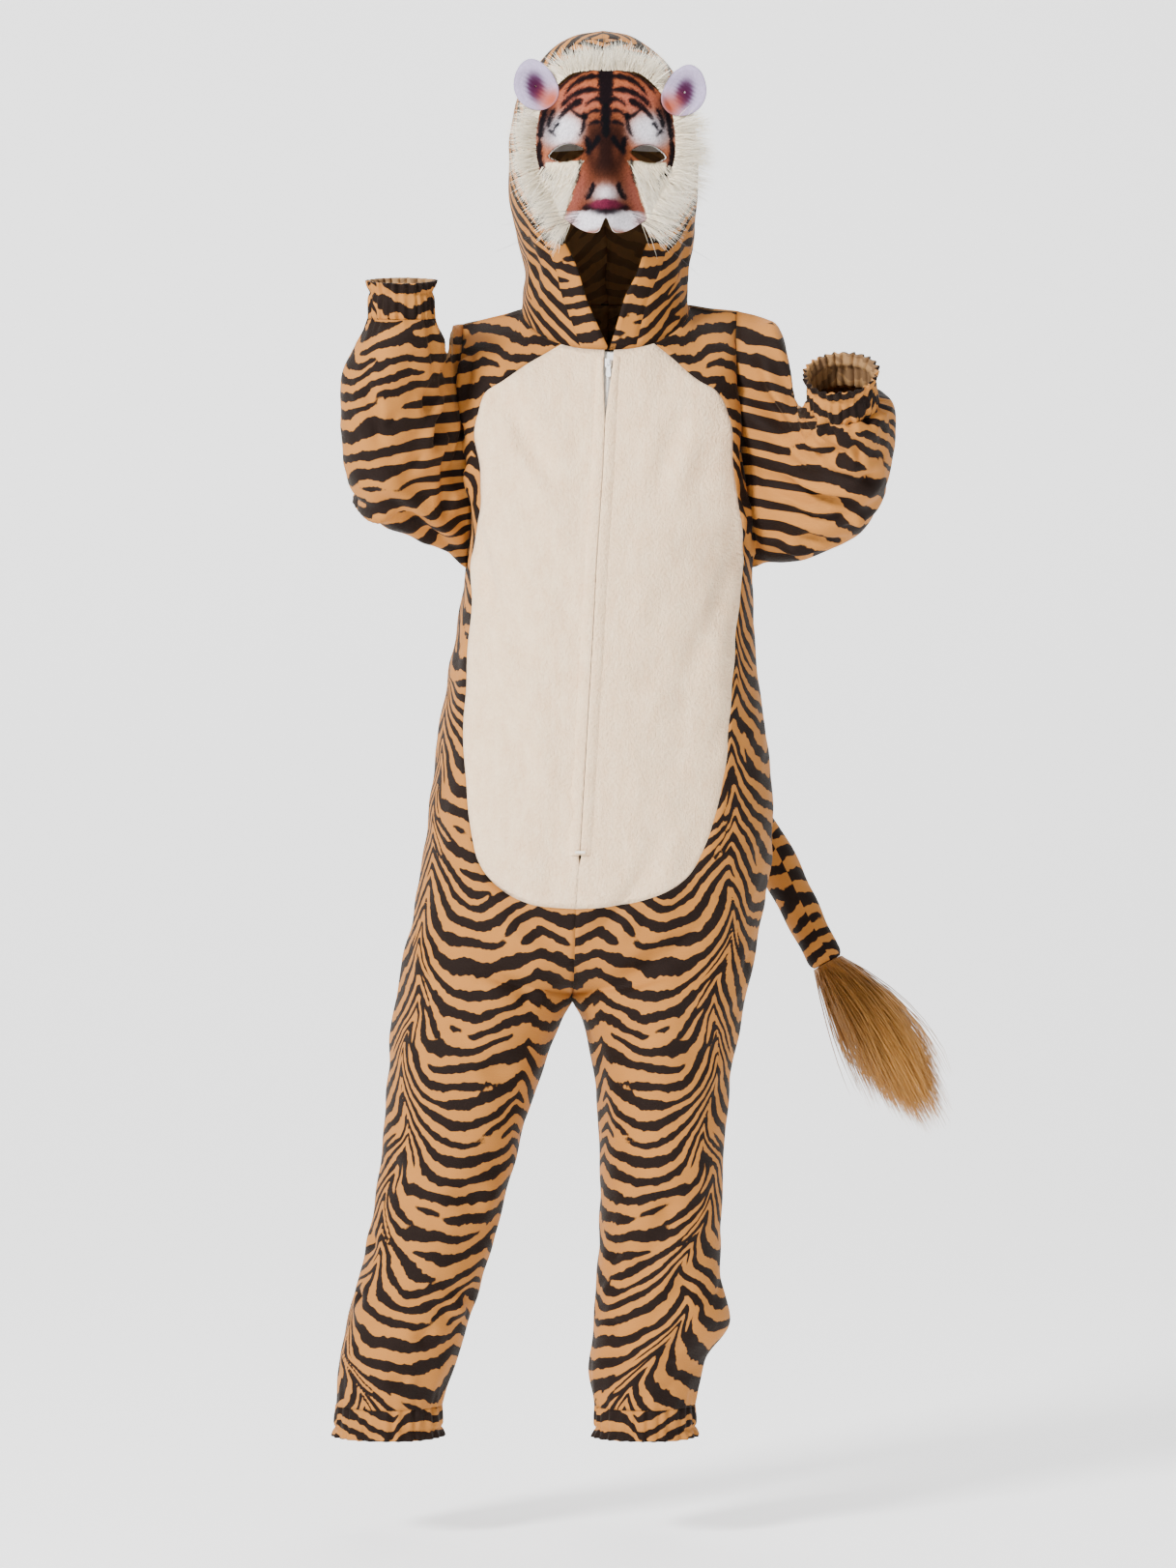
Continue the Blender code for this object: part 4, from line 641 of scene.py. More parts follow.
def hood(side):
    """Half of the hood: rows from the neckline to the ridge, each from the face edge to the centre back."""
    neck = neck_samples(side)
    q = hood_shares()
    c = {name: v[:, None] for name, v in columns(HOOD, HOOD_COLUMNS).items()}
    start = -np.arccos(c["open"])
    a = start + (np.pi / 2 - start) * q[None]
    x = c["x"] + SIDES[side] * c["half"] * np.cos(a)
    y = c["y"] + np.where(a < 0, c["ahead"], c["behind"]) * np.sin(a)
    bulge = c["z_mid"] - (c["z_face"] + c["z_back"]) / 2
    z = c["z_face"] + (c["z_back"] - c["z_face"]) * q[None] + 4 * bulge * (q * (1 - q))[None]
    rows = np.concatenate([neck[None], np.stack([x, y, z], axis=2)])
    hh, jj = np.meshgrid(HOOD_H, np.arange(len(q)), indexing="ij")
    return smooth(rows[:, jj.ravel()], hh.ravel()).reshape(len(HOOD_H), len(q), 3)


def quads(rows, cols):
    """Corner indices of the cells of a grid, counter-clockwise where rows run up and columns to the right."""
    i, j = np.meshgrid(np.arange(rows - 1), np.arange(cols - 1), indexing="ij")
    a = (i * cols + j).ravel()
    return np.stack([a, a + 1, a + cols + 1, a + cols], axis=1)


def place_keys(points):
    """Whole numbers that are the same for points that meet."""
    return np.floor(points * KEYS_PER_MM + KEY_SHIFT).astype(np.int64)


def face_normals(points, cells):
    """Unit normals of the cells, the same weight for each, so that no side of a seam outweighs the other."""
    first = points[cells[:, 2]] - points[cells[:, 0]]
    second = points[cells[:, 3]] - points[cells[:, 1]]
    return unit(np.cross(first, second))


def beside_zip(away, t):
    """Points of the front at distances away from the centre line, negative to the right side. away may vary
    along the zip: it has a row for each t."""
    away = np.broadcast_to(away, (len(t), np.shape(away)[-1]))
    grid = []
    for column in away.T:
        side = "right" if column.mean() < 0 else "left"
        grid.append(body(side, "front", slot_s(side, t, np.abs(column)), t))
    return np.stack(grid, axis=1)


def mask_columns(z):
    """The mask's named columns at heights z."""
    c = columns(MASK, MASK_COLUMNS)
    return {name: np.interp(z, c["z"], c[name]) for name in MASK_COLUMNS}


def mask_depth(x, z):
    """y of the mask's front: it bends back to its edges as a parabola and stands forward along the nose."""
    c = mask_columns(z)
    share = np.clip(np.abs(x - MASK_MIDDLE_X) / c["half"], 0, 1)
    nose = c["nose"] * np.exp(-(((x - MASK_MIDDLE_X) / NOSE_HALF) ** 2))
    return MASK_MIDDLE_Y + c["edge"] * share**2 - nose


def casing(ring, axis, length):
    """Rows of a casing that leaves a ring along axis, drawn in a little at its stitching."""
    closed = np.concatenate([ring, ring[:1]]) if np.linalg.norm(ring[0] - ring[-1]) > 1e-6 else ring
    steps = np.linspace(0, len(closed) - 1, 2 * (len(closed) - 1) + 1)
    k = np.minimum(steps.astype(int), len(closed) - 2)
    fine = closed[k] + (closed[k + 1] - closed[k]) * (steps - k)[:, None]
    outward = fine - closed[:-1].mean(axis=0)
    outward = unit(outward - (outward @ axis)[:, None] * axis)
    h = np.linspace(0, 1, CASING_ROWS)[:, None, None]
    stitched = np.exp(-(((h - STITCH_SHARE) / 0.07) ** 2))
    frill = np.clip(h - FRILL_SHARE, 0, 1) / (1 - FRILL_SHARE)
    grow = 0.6 * np.sin(np.pi * np.clip(h / STITCH_SHARE, 0, 1)) - 1.4 * stitched + 2.0 * frill
    return fine + axis * h * length + outward * (grow - 0.4 * np.clip(h / 0.2, 0, 1))


def ring_frames():
    """Centre, axis, name and radius of the four rings where the casings start."""
    rings = []
    for side in SIDES:
        starts = (("cuff", sleeve(side)[-1], wrist_axis(side)), ("hem", leg_ring(side), DOWN))
        for name, ring, axis in starts:
            centre = ring.mean(axis=0)
            rings.append((name, centre, axis, np.linalg.norm(ring - centre, axis=1).max()))
    return rings


def gathers(points):
    """Moves points near a casing in and out of its ring, as waves round it that fade up the cloth."""
    moved = points.copy()
    for number, (name, centre, axis, radius) in enumerate(ring_frames()):
        away = points - centre
        height = away @ axis
        flat = away - height[:, None] * axis
        reach = np.linalg.norm(flat, axis=1)
        near = (reach < radius * GATHER_REACH) & (height > GATHER_ENDS[0]) & (height < GATHER_ENDS[1])
        e = unit(np.cross(axis, np.array([0.3, 1.0, 0.1])))
        angle = np.arctan2(flat @ np.cross(axis, e), flat @ e)
        bend = 0.9 * np.sin(2 * angle + number) + 0.5 * np.sin(5 * angle + 2 * number)
        wave = np.cos(WAVES[name] * angle + bend) + 0.35 * np.cos(1.55 * WAVES[name] * angle + 3 * bend)
        slow = np.cos(np.round(WAVES[name] * 0.45) * angle + 2 * bend)
        fade = np.exp(np.minimum(height, 0) / FINE_FADE)
        above = fade * (wave * 0.9 - 0.2)
        wide = np.exp(np.minimum(height, 0) / WIDE_FADE) * slow * (height < 0) * 1.5
        stitched = 1 - 0.65 * np.exp(-(((height - STITCH_HEIGHT) / 2.5) ** 2))
        frill = 1 + 0.7 * np.clip((height - FRILL_HEIGHT) / 8, 0, 1)
        amount = (above * stitched * frill + wide * (1 - fade)) * near
        moved += flat / np.maximum(reach, 1)[:, None] * amount[:, None]
    return moved


def folded(points, normals):
    """Each fold of FOLDS is a soft ridge or trough along a line, uneven along its length and fading to its
    ends. Low waves of the cloth lie over all, save beside the zip."""
    height = np.zeros(len(points))
    for number, (x0, y0, z0, x1, y1, z1, width, tall) in enumerate(FOLDS):
        start = np.array([x0, y0, z0], float)
        run = np.array([x1, y1, z1], float) - start
        away = points - start
        share = away @ run / (run @ run)
        off = np.linalg.norm(away - np.clip(share, 0, 1)[:, None] * run, axis=1)
        wander = 1 + 0.3 * np.sin(9 * share + number)
        ridge = np.exp(-((off / (width * wander)) ** 2))
        lip = np.exp(-(((off - 1.9 * width) / width) ** 2)) * 0.35
        gain = FOLD_GAIN + SLEEVE_FOLD_GAIN * (abs(x0) > BODY_HALF)
        height += gain * tall * (ridge - lip) * np.clip(1.2 - np.abs(share - 0.5) * 1.6, 0, 1)
    rng = np.random.default_rng(5)
    for length, tall in LOW_WAVES:
        for _ in range(5):
            turn = unit(rng.normal(size=3)) * 2 * np.pi / length
            height += tall * 0.5 * np.sin(points @ turn + rng.random() * 6.3)
    x, y, z = points.T
    calm = np.clip((np.abs(x) - ZIP_CALM) / 14, 0, 1) + np.clip((ZIP_CALM_Z - z) / 20, 0, 1)
    calm = np.where((y < -40) & (z < 0), np.clip(calm, 0, 1), 1.0)
    height = np.where((z > HOOD_Z) & (height < 0), height * 0.3, height)
    return points + normals * (height * calm)[:, None]


def stripe_field():
    """Slowly changing complex strength of the stripes over one repeat, a cell for each millimetre: random
    values smoothed along the stripes more than across them, and evened out, so that forks and ends stay where
    they fall."""
    rng = np.random.default_rng(23)
    field = rng.normal(size=(REPEAT_V, REPEAT_U)) + 1j * rng.normal(size=(REPEAT_V, REPEAT_U))
    across = np.fft.fftfreq(REPEAT_U)[None]
    up = np.fft.fftfreq(REPEAT_V)[:, None]
    keep = np.exp(-((across * 40) ** 2) - (up * 24) ** 2)
    for power in (0.0, 0.5, 0.4):
        field = np.fft.ifft2(np.fft.fft2(field / np.maximum(np.abs(field), 1e-9) ** power) * keep)
        field /= np.abs(field).mean()
    return field / np.maximum(np.abs(field), 0.05) ** 0.3


STRIPE_FIELD = stripe_field()


def wander(u, v, seed, length, tall):
    """Slow waves over the cloth, as a sum of sines in random directions."""
    rng = np.random.default_rng(seed)
    total = 0.0
    for _ in range(5):
        turn = rng.random() * np.pi
        size = 2 * np.pi / (length * (0.7 + 0.6 * rng.random()))
        total = total + np.sin((u * np.cos(turn) + v * np.sin(turn)) * size + rng.random() * 6.3)
    return total * tall / 2.2


def print_at(u, v, slope=1.0):
    """Phase of the stripes and the two parts of their strength at cloth coordinates u (round) and v (up).
    Stripes follow lines that drop away from the spine at u = 0 on both sides, less so at a small slope."""
    side = u + wander(u, v, 2, 95, 6.0)
    near = (side + REPEAT_U / 2) % REPEAT_U - REPEAT_U / 2
    far = np.clip((np.abs(near) - 50) / 70, 0, 1)
    drop = DROP * (1 + wander(0 * u, v, 3, 120, 0.07))
    w = v + slope * (drop * (1 - np.exp(-np.abs(near) / DROP_REACH)) - RISE * far**1.5)
    w = w + wander(u, v, 4, 90, 3.0) + wander(u, v, 5, 34, 1.0)
    row, col = w % REPEAT_V, near % REPEAT_U
    i, j = np.floor(row).astype(int), np.floor(col).astype(int)
    fi, fj = row - i, col - j
    i, j = i % REPEAT_V, j % REPEAT_U
    below, right = (i + 1) % REPEAT_V, (j + 1) % REPEAT_U
    value = (STRIPE_FIELD[i, j] * (1 - fi) + STRIPE_FIELD[below, j] * fi) * (1 - fj)
    value += (STRIPE_FIELD[i, right] * (1 - fi) + STRIPE_FIELD[below, right] * fi) * fj
    return np.stack([w * 2 * np.pi * STRIPES / REPEAT_V, value.real, value.imag], axis=-1)


def body_map(side, face):
    """Cloth coordinate u over a dense grid of the body: the way round each row from the print's spine."""
    s = np.linspace(0, 1, 61)
    t = np.linspace(0, TOP, 211)
    grid = body(side, face, s[None], t[:, None])
    step = np.linalg.norm(np.diff(grid, axis=1), axis=2)
    arc = np.concatenate([np.zeros((len(t), 1)), np.cumsum(step, axis=1)], axis=1)
    if face == "back":
        return arc[:, -1:] * 0.55 - arc
    spine = np.array(SPINE, float)
    x = np.interp(grid[:, 45, 2], spine[:, 0], spine[:, 1 if side == "right" else 2]) * SIDES[side]
    at = np.array([np.interp(x[k], grid[k, :, 0] * SIDES[side], arc[k]) for k in range(len(t))])
    return at[:, None] - arc


def read_map(table, s, t):
    """The table's value at s and t, between its cells."""
    row = np.clip(t * 10, 0, 209.999)
    col = np.clip(s * 60, 0, 59.999)
    i, j = row.astype(int), col.astype(int)
    fi, fj = row - i, col - j
    upper = table[i + 1, j] * (1 - fj) + table[i + 1, j + 1] * fj
    return (table[i, j] * (1 - fj) + table[i, j + 1] * fj) * (1 - fi) + upper * fi


def with_print(points, u, v, slope=1.0):
    """A grid's points with their print and cloth coordinates: nine numbers each, the last left for seams."""
    u, v = np.broadcast_arrays(u, v)
    return np.concatenate([points, print_at(u, v, slope), np.stack([u, v, 0 * u], axis=-1)], axis=-1)


def without_print(grid):
    """The same nine numbers for a grid with no print, its cloth coordinates x and z."""
    return np.concatenate([grid, 0 * grid, grid[..., [0, 2]], 0 * grid[..., :1]], axis=-1)


def lengths(grid, axis, back=False):
    """Way along a grid from its first row or column, or from its last."""
    step = np.linalg.norm(np.diff(grid[..., :3], axis=axis), axis=2)
    pad = [(0, 0), (0, 0)]
    pad[axis] = (1, 0)
    way = np.cumsum(np.pad(step, pad), axis=axis)
    return np.take(way, [-1], axis=axis) - way if back else way


def seamed(grid, *edges):
    """Writes into a grid how near its points are to the seams at the named edges, from 0 to 1 at a seam."""
    ways = {"first_row": (0, False), "last_row": (0, True), "first_col": (1, False), "last_col": (1, True)}
    near = np.full(grid.shape[:2], 1e3)
    for edge in edges:
        near = np.minimum(near, lengths(grid, *ways[edge]))
    grid[..., 8] = np.maximum(grid[..., 8], np.exp(-((near / 3.2) ** 2)))
    return grid


def yoke_parameters(side):
    """s and t of the yoke: from the belly's edge out to the leg's top row, side seam and armhole."""
    bottom_s, bottom_t = belly_edge(side, np.linspace(0, 1, len(FRONT_S)))
    side_s, side_t = belly_edge(side, 1 + side_shares())
    inner = np.stack([np.append(bottom_s, side_s[1:]), np.append(bottom_t, side_t[1:])], axis=1)
    row = np.stack([FRONT_S, np.full(len(FRONT_S), float(LEG_END_T))], axis=1)
    outer = np.concatenate([row, np.stack([np.ones(len(SIDE_T) - 1), SIDE_T[1:]], axis=1)])
    w = (YOKE_S - YOKE_S[0]) / (1 - YOKE_S[0])
    st = inner[None] + (outer - inner)[None] * w[:, None, None]
    return st[..., 0], st[..., 1]


def body_grid(side, face, s, t):
    """A piece of the body with its print. Up the cloth is up the body."""
    s, t = np.broadcast_arrays(s, t)
    points = body(side, face, s, t)
    u = read_map(body_map(side, face), s, t)
    slope = YOKE_SLOPE + (1 - YOKE_SLOPE) * np.clip((-60 - points[..., 2]) / 160, 0, 1)
    return with_print(points, u, points[..., 2] + (37 if face == "back" else 0), slope)


def tube_print(points, first_angle, shift):
    """Print of a casing: round it by its angle, and along it mostly by the mean length of its lines."""
    angle = 2 * np.pi * np.arange(points.shape[1]) / (points.shape[1] - 1)
    along = 0.35 * lengths(points, 0) + 0.65 * lengths(points, 0).mean(axis=1, keepdims=True)
    return with_print(points, (angle[None] - first_angle) * TUBE_RADIUS, along + shift, CASING_SLOPE)


def cloth_pieces():
    """Every cloth piece as name: (finish, [(grid, flipped)])."""
    pieces = {}
    for side, sign in SIDES.items():
        left = sign > 0
        legs = seamed(body_grid(side, "front", FRONT_S[None], LEG_T[:, None]), "first_col", "last_col")
        yoke = seamed(body_grid(side, "front", *yoke_parameters(side)), "first_row", "last_col")
        outer = seamed(yoke[:, len(FRONT_S) - 1 :].copy(), "last_row")
        yoke[:, len(FRONT_S) - 1 :] = outer
        pieces["front_" + side] = ("velour", [(legs, not left), (yoke, left)])
        back_t = np.concatenate([LEG_T, SIDE_T[1:]])
        back = body_grid(side, "back", BACK_S[None], back_t[:, None])
        pieces["back_" + side] = ("velour", [(seamed(back, "first_col", "last_col", "last_row"), left)])
        belly = belly_panel(side)
        belly = with_print(belly, belly[..., 0], belly[..., 2])
        pieces["belly_" + side] = ("plush", [(seamed(belly, "last_col", "first_row", "last_row"), not left)])
        tube = sleeve(side)
        angle = 2 * np.pi * np.arange(tube.shape[1]) / (tube.shape[1] - 1)
        hang = 1.1 * tube[..., 2] + 0.3 * np.abs(tube[..., 0])
        u = (angle[None] - np.pi / 2 - 2 + 0.35 * sign) * TUBE_RADIUS
        tube = with_print(tube, u, hang + 50 + 23 * sign, SLEEVE_SLOPE)
        pieces["sleeve_" + side] = ("velour", [(seamed(tube, "first_row", "first_col", "last_col"), left)])
        cuff = casing(tube[-1, :, :3], wrist_axis(side), CUFF_LENGTH)
        pieces["cuff_" + side] = ("velour", [(seamed(tube_print(cuff, 0.6, 91), "first_row"), left)])
        hem = casing(leg_ring(side), DOWN, HEM_LENGTH)
        pieces["hem_" + side] = ("velour", [(seamed(tube_print(hem, 1.4, 20), "first_row"), left)])
    band = []
    for side, sign in SIDES.items():
        grid = hood(side)
        round_it = lengths(grid, 1)
        first_u, first_v, lean = HOOD_PRINT[side]
        slant = lean * np.maximum(round_it - round_it[:, BAND_CELLS : BAND_CELLS + 1], 0)
        half = with_print(grid, round_it + first_u, lengths(grid, 0) + first_v - slant, HOOD_SLOPE)
        shell = seamed(half[:, BAND_CELLS:].copy(), "first_row", "first_col", "last_col", "last_row")
        pieces["hood_" + side] = ("velour", [(shell, sign < 0)])
        strip = grid[:, : BAND_CELLS + 1]
        v = 1.15 * lengths(strip, 0) + 31 + 40 * sign
        strip = with_print(strip, lengths(strip, 1) + 25, v, BAND_SLOPE)
        band.append((seamed(strip, "last_col", "first_row"), sign < 0))
    pieces["hood_band"] = ("velour", band)
    return pieces


def joined(grids):
    """One mesh from the grids of a piece: points that meet are made one, and their other values stay."""
    values = np.concatenate([g.reshape(-1, g.shape[-1]) for g, _ in grids])
    start = np.cumsum([0] + [g.shape[0] * g.shape[1] for g, _ in grids])
    cells = []
    for (g, flip), first in zip(grids, start):
        q = quads(*g.shape[:2]) + first
        cells.append(q[:, ::-1] if flip else q)
    keys = place_keys(values[:, [0, 1, 2, 6]])
    _, first, back = np.unique(keys, axis=0, return_index=True, return_inverse=True)
    return values[first], back.reshape(-1)[np.concatenate(cells)]


def shared_normals(meshes):
    """Normals of every mesh's points, averaged over all meshes, so that pieces stay joined at their seams."""
    points = np.concatenate([p[:, :3] for p, _ in meshes])
    start = np.cumsum([0] + [len(p) for p, _ in meshes])
    _, back = np.unique(place_keys(points), axis=0, return_inverse=True)
    back = back.reshape(-1)
    total = np.zeros((back.max() + 1, 3))
    for (p, cells), first in zip(meshes, start):
        normals = face_normals(p[:, :3], cells)
        for corner in range(4):
            np.add.at(total, back[cells[:, corner] + first], normals)
    normals = unit(total)[back]
    return [normals[start[i] : start[i + 1]] for i in range(len(meshes))]


def write_mesh(name, points, cells, attributes=()):
    """A mesh object at the origin, from points in millimetres, with its point attributes."""
    mesh = bpy.data.meshes.new(name)
    cells = np.asarray(cells)
    sides = cells.shape[1]
    mesh.vertices.add(len(points))
    mesh.vertices.foreach_set("co", (points * MM).astype(np.float32).ravel())
    mesh.loops.add(cells.size)
    mesh.loops.foreach_set("vertex_index", cells.astype(np.int32).ravel())
    mesh.polygons.add(len(cells))
    mesh.polygons.foreach_set("loop_start", np.arange(len(cells), dtype=np.int32) * sides)
    mesh.polygons.foreach_set("use_smooth", np.ones(len(cells), bool))
    mesh.update(calc_edges=True)
    mesh.validate()
    for label, kind, values in attributes:
        field = "color" if kind == "FLOAT_COLOR" else "vector"
        data = mesh.attributes.new(label, kind, "POINT").data
        data.foreach_set(field, np.asarray(values, np.float32).ravel())
    obj = bpy.data.objects.new(name, mesh)
    bpy.context.scene.collection.objects.link(obj)
    return obj


def cloth_attributes(values):
    """Attributes of a velour or plush mesh from the nine numbers of its points."""
    return [("print", "FLOAT_VECTOR", values[:, 3:6]), ("cloth", "FLOAT_VECTOR", values[:, 6:9])]


def dress(obj, *finishes):
    """Gives a piece its materials, the outer side's first."""
    for finish in finishes:
        obj.data.materials.append(MATERIALS[finish])


def thicken(obj, thickness, offset=-1):
    """Gives a sheet its thickness in millimetres. Its second material, if it has one, is its reverse."""
    wall = obj.modifiers.new("wall", "SOLIDIFY")
    wall.thickness = thickness * MM
    wall.offset = offset
    if len(obj.data.materials) > 1:
        wall.material_offset = 1
    return wall


def stand_for(obj, node):
    """Says what a piece rides on and hides the node of the CAD that it stands for."""
    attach(obj, "suit")
    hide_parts(node)


def declare(obj, node):
    """Says what a piece of cloth rides on and stands for."""
    stand_for(obj, node)


def build_cloth():
    """Every cloth piece as a thin shell on its solid's form, folded and gathered, by name with its size."""
    pieces = cloth_pieces()
    meshes = [joined(grids) for _, grids in pieces.values()]
    normals = shared_normals(meshes)
    made = {}
    for (name, (finish, grids)), (values, cells), normal in zip(pieces.items(), meshes, normals):
        points = gathers(folded(values[:, :3], normal))
        obj = write_mesh(name + "_cloth", points, cells, cloth_attributes(values))
        dress(obj, finish, "reverse")
        thicken(obj, PLUSH_SHELL if finish == "plush" else SHELL)
        made[name] = (obj, sheet_size(points, cells, values[:, 6:8]))
    return made


def sheet_size(points, cells, cloth):
    """Area of a piece in square metres, with its length along the cloth in metres."""
    a, b, c, d = (points[cells[:, k]] for k in range(4))
    area = 0.5 * np.linalg.norm(np.cross(c - a, d - b), axis=1).sum() * 1e-6
    high = max(np.ptp(cloth[:, 1]) * 1e-3, 0.02)
    return area, high


def zip_outward(line):
    """Directions out of the front along a line down the zip."""
    out = unit(np.cross(np.gradient(line, axis=0), np.array([-1.0, 0, 0])))
    return out * -np.sign(out[:, 1:2])


def build_flaps():
    """Two soft welts of plush over the zip: a rounded section carried along the zip, parted at the neck."""
    t = np.linspace(ZIP_END_T, ZIP_TOP_T, 200)
    opening = np.clip((t - FLY_OPEN_T) / (ZIP_TOP_T - FLY_OPEN_T), 0, 1)
    inner = 0.15 + (FLY_TOP_GAP - 0.15) * opening
    round_it = np.linspace(0, 2 * np.pi, 21)
    flaps = {}
    for side, sign in SIDES.items():
        share = 0.5 - 0.5 * np.cos(round_it)
        share = share[None] + 0.012 * np.sin(t * 23 + sign)[:, None]
        away = (inner[:, None] + (FLY_WIDTH - inner)[:, None] * np.clip(share, 0, 1)) * sign
        grid = beside_zip(away, t)
        base = 1.5 - 2.3 * np.clip(share, 0, 1) ** 2
        lift = base - 1.15 * np.sin(round_it)[None] * (1 + 0.08 * np.sin(t * 9 + 2 * sign))[:, None]
        flaps[side] = grid + zip_outward(grid[:, 10])[:, None] * lift[..., None]
    return flaps


def build_fly():
    """The welts as objects."""
    for side, grid in build_flaps().items():
        values, cells = joined([(without_print(grid), side == "left")])
        obj = write_mesh("zip_flap_%s_cloth" % side, values[:, :3], cells, cloth_attributes(values)[1:])
        dress(obj, "plush")
        declare(obj, "zip_flap_" + side)


def build_tape():
    """The zip's tape behind the slot, up to the neckline."""
    t = np.linspace(ZIP_END_T, TOP, 120)
    grid = beside_zip(np.linspace(-TAPE_HALF, TAPE_HALF, 9)[None], t)
    grid = grid - zip_outward(grid[:, 4])[:, None] * (PLUSH + TAPE_GAP)
    values, cells = joined([(without_print(grid), False)])
    obj = write_mesh("zip_tape_cloth", values[:, :3], cells)
    dress(obj, "zip_tape")
    thicken(obj, TAPE_THICK)
    declare(obj, "zip_tape")


def tubes(paths, radii, sides, twist=0.0):
    """Tubes of a few sides along many paths at once: paths is tube by point by place, radii tube by point."""
    run = unit(np.gradient(paths, axis=1))
    guide = np.array([0.31, 0.17, 0.93])
    across = unit(np.cross(run, guide))
    up = np.cross(across, run)
    a = 2 * np.pi * np.arange(sides) / sides + twist
    ring = across[:, :, None] * np.cos(a)[:, None] + up[:, :, None] * np.sin(a)[:, None]
    points = paths[:, :, None] + ring * radii[:, :, None, None]
    count, length = paths.shape[:2]
    i, j, k = np.meshgrid(np.arange(count), np.arange(length - 1), np.arange(sides), indexing="ij")
    first = (i * length + j) * sides
    after = (k + 1) % sides
    cells = np.stack([first + k, first + after, first + sides + after, first + sides + k], axis=-1)
    return points.reshape(-1, 3), cells.reshape(-1, 4)


def build_teeth():
    """The zip's coil: two rows of short bars across the tape, leaning a little and rounded at their ends."""
    t = np.linspace(ZIP_END_T + 0.1, COIL_TOP_T, 400)
    middle = beside_zip(np.array([[-0.6, 0.6]]), t)
    line = middle.mean(axis=1)
    way = np.append(0, np.cumsum(np.linalg.norm(np.diff(line, axis=0), axis=1)))
    at = np.arange(0, way[-1], TOOTH_PITCH / 2)
    at = at[: len(at) // 2 * 2]

    def between(values):
        return np.stack([np.interp(at, way, values[:, k]) for k in range(3)], axis=1)

    place = between(line)
    up = unit(between(unit(np.gradient(line, axis=0))))
    rise = unit(between(zip_outward(line)))
    sign = np.where(np.arange(len(at)) % 2 == 0, 1.0, -1.0)[:, None, None]
    share = np.linspace(0, 1, 5)[None, :, None]
    across = (2.3 - 3.0 * share) * sign * np.array([1.0, 0, 0])
    lift = (-(PLUSH + TAPE_GAP) + 0.9 + 0.35 * np.sin(np.pi * share)) * rise[:, None]
    paths = place[:, None] + across + lift + 0.25 * (share - 0.5) * up[:, None]
    radii = np.broadcast_to(np.array([0.1, 0.42, 0.45, 0.45, 0.15]), paths.shape[:2])
    obj = write_mesh("zip_teeth", *tubes(paths, radii, 6))
    dress(obj, "white_nylon")
    stand_for(obj, "zip_coil")


def tail_rings():
    """Rings of the tail with its middle line and directions: round sections along its route, from their seat
    on the back panels to the tuft."""
    along = np.linspace(0, len(TAIL) - 1, TAIL_RINGS)
    track = smooth(np.array(TAIL, float)[:, None, :].repeat(TAIL_RINGS, axis=1), along)
    run = unit(np.gradient(track[:, :3], axis=0))
    across = unit(np.cross(run, np.array([0.15, 0.2, 1.0])))
    up = np.cross(across, run)
    a = np.linspace(0, 2 * np.pi, RING_POINTS)
    circle = across[:, None] * np.cos(a)[None, :, None] + up[:, None] * np.sin(a)[None, :, None]
    rings = track[:, None, :3] + circle * track[:, None, 3:]
    seat = rings[0].copy()
    seat[:, 1] = [back_depth(x, z) for x, z in seat[:, [0, 2]]]
    seat[:, 1] += 1.2
    share = np.clip(along / TAIL_SEAT_ROW, 0, 1)[:, None, None]
    root = rings[np.searchsorted(along, TAIL_SEAT_ROW)][None]
    return seat * (1 - share) + np.where(share < 1, root, rings) * share, track, run


def back_depth(x, z):
    """y of the back's outer surface at x and z, over the seat and waist where rows are level."""
    side = "right" if x < TAIL[0][0] + 1 else "left"
    s = np.linspace(0, 0.6, 61)
    t = np.linspace(11.5, 16, 91)
    grid = body(side, "back", s[None], t[:, None])
    row = np.argmin(np.abs(grid[:, 10, 2] - z))
    return np.interp(x * SIDES[side], grid[row, :, 0] * SIDES[side], grid[row, :, 1])


def build_tail():
    """The stuffed tail, striped round, with slight dents of its filling and a seam along its underside."""
    rings, track, run = tail_rings()
    middle = rings[:, :-1].mean(axis=1, keepdims=True)
    away = unit(rings - middle)
    way = np.append(0, np.cumsum(np.linalg.norm(np.diff(middle[:, 0], axis=0), axis=1)))
    a = np.linspace(0, 2 * np.pi, RING_POINTS)
    dent = 0.8 * np.sin(way[:, None] / 17 + 2 * np.sin(a)[None]) * np.sin(2 * a + 1)[None]
    dent += 0.5 * np.sin(way[:, None] / 7.3 + 3 * np.cos(a)[None])
    dent *= np.clip(way / 30, 0, 1)[:, None]
    end = np.clip((way[-1] - way) / 6, 0, 1)[:, None] ** 0.5
    rings = middle + (rings - middle) * (0.82 + 0.18 * end)[..., None] + away * dent[..., None]
    grid = with_print(rings, (a[None] / (2 * np.pi)) * 110 + 64, way[:, None])
    values, cells = joined([(seamed(grid, "first_col", "last_col", "last_row"), False)])
    obj = write_mesh("tail_cloth", values[:, :3], cells, cloth_attributes(values))
    dress(obj, "velour")
    stand_for(obj, "tail")
    return track[-1, :3], run[-1]


def strand_tones(shades, points):
    """Tone of every point of the strands: a shade for each strand, and the way from its root to its tip."""
    way = np.tile(np.repeat(np.linspace(0, 1, points), STRAND_SIDES), len(shades))
    tone = np.repeat(shades, points * STRAND_SIDES)
    return [("tone", "FLOAT_VECTOR", np.stack([tone, way, 0 * way], axis=1))]


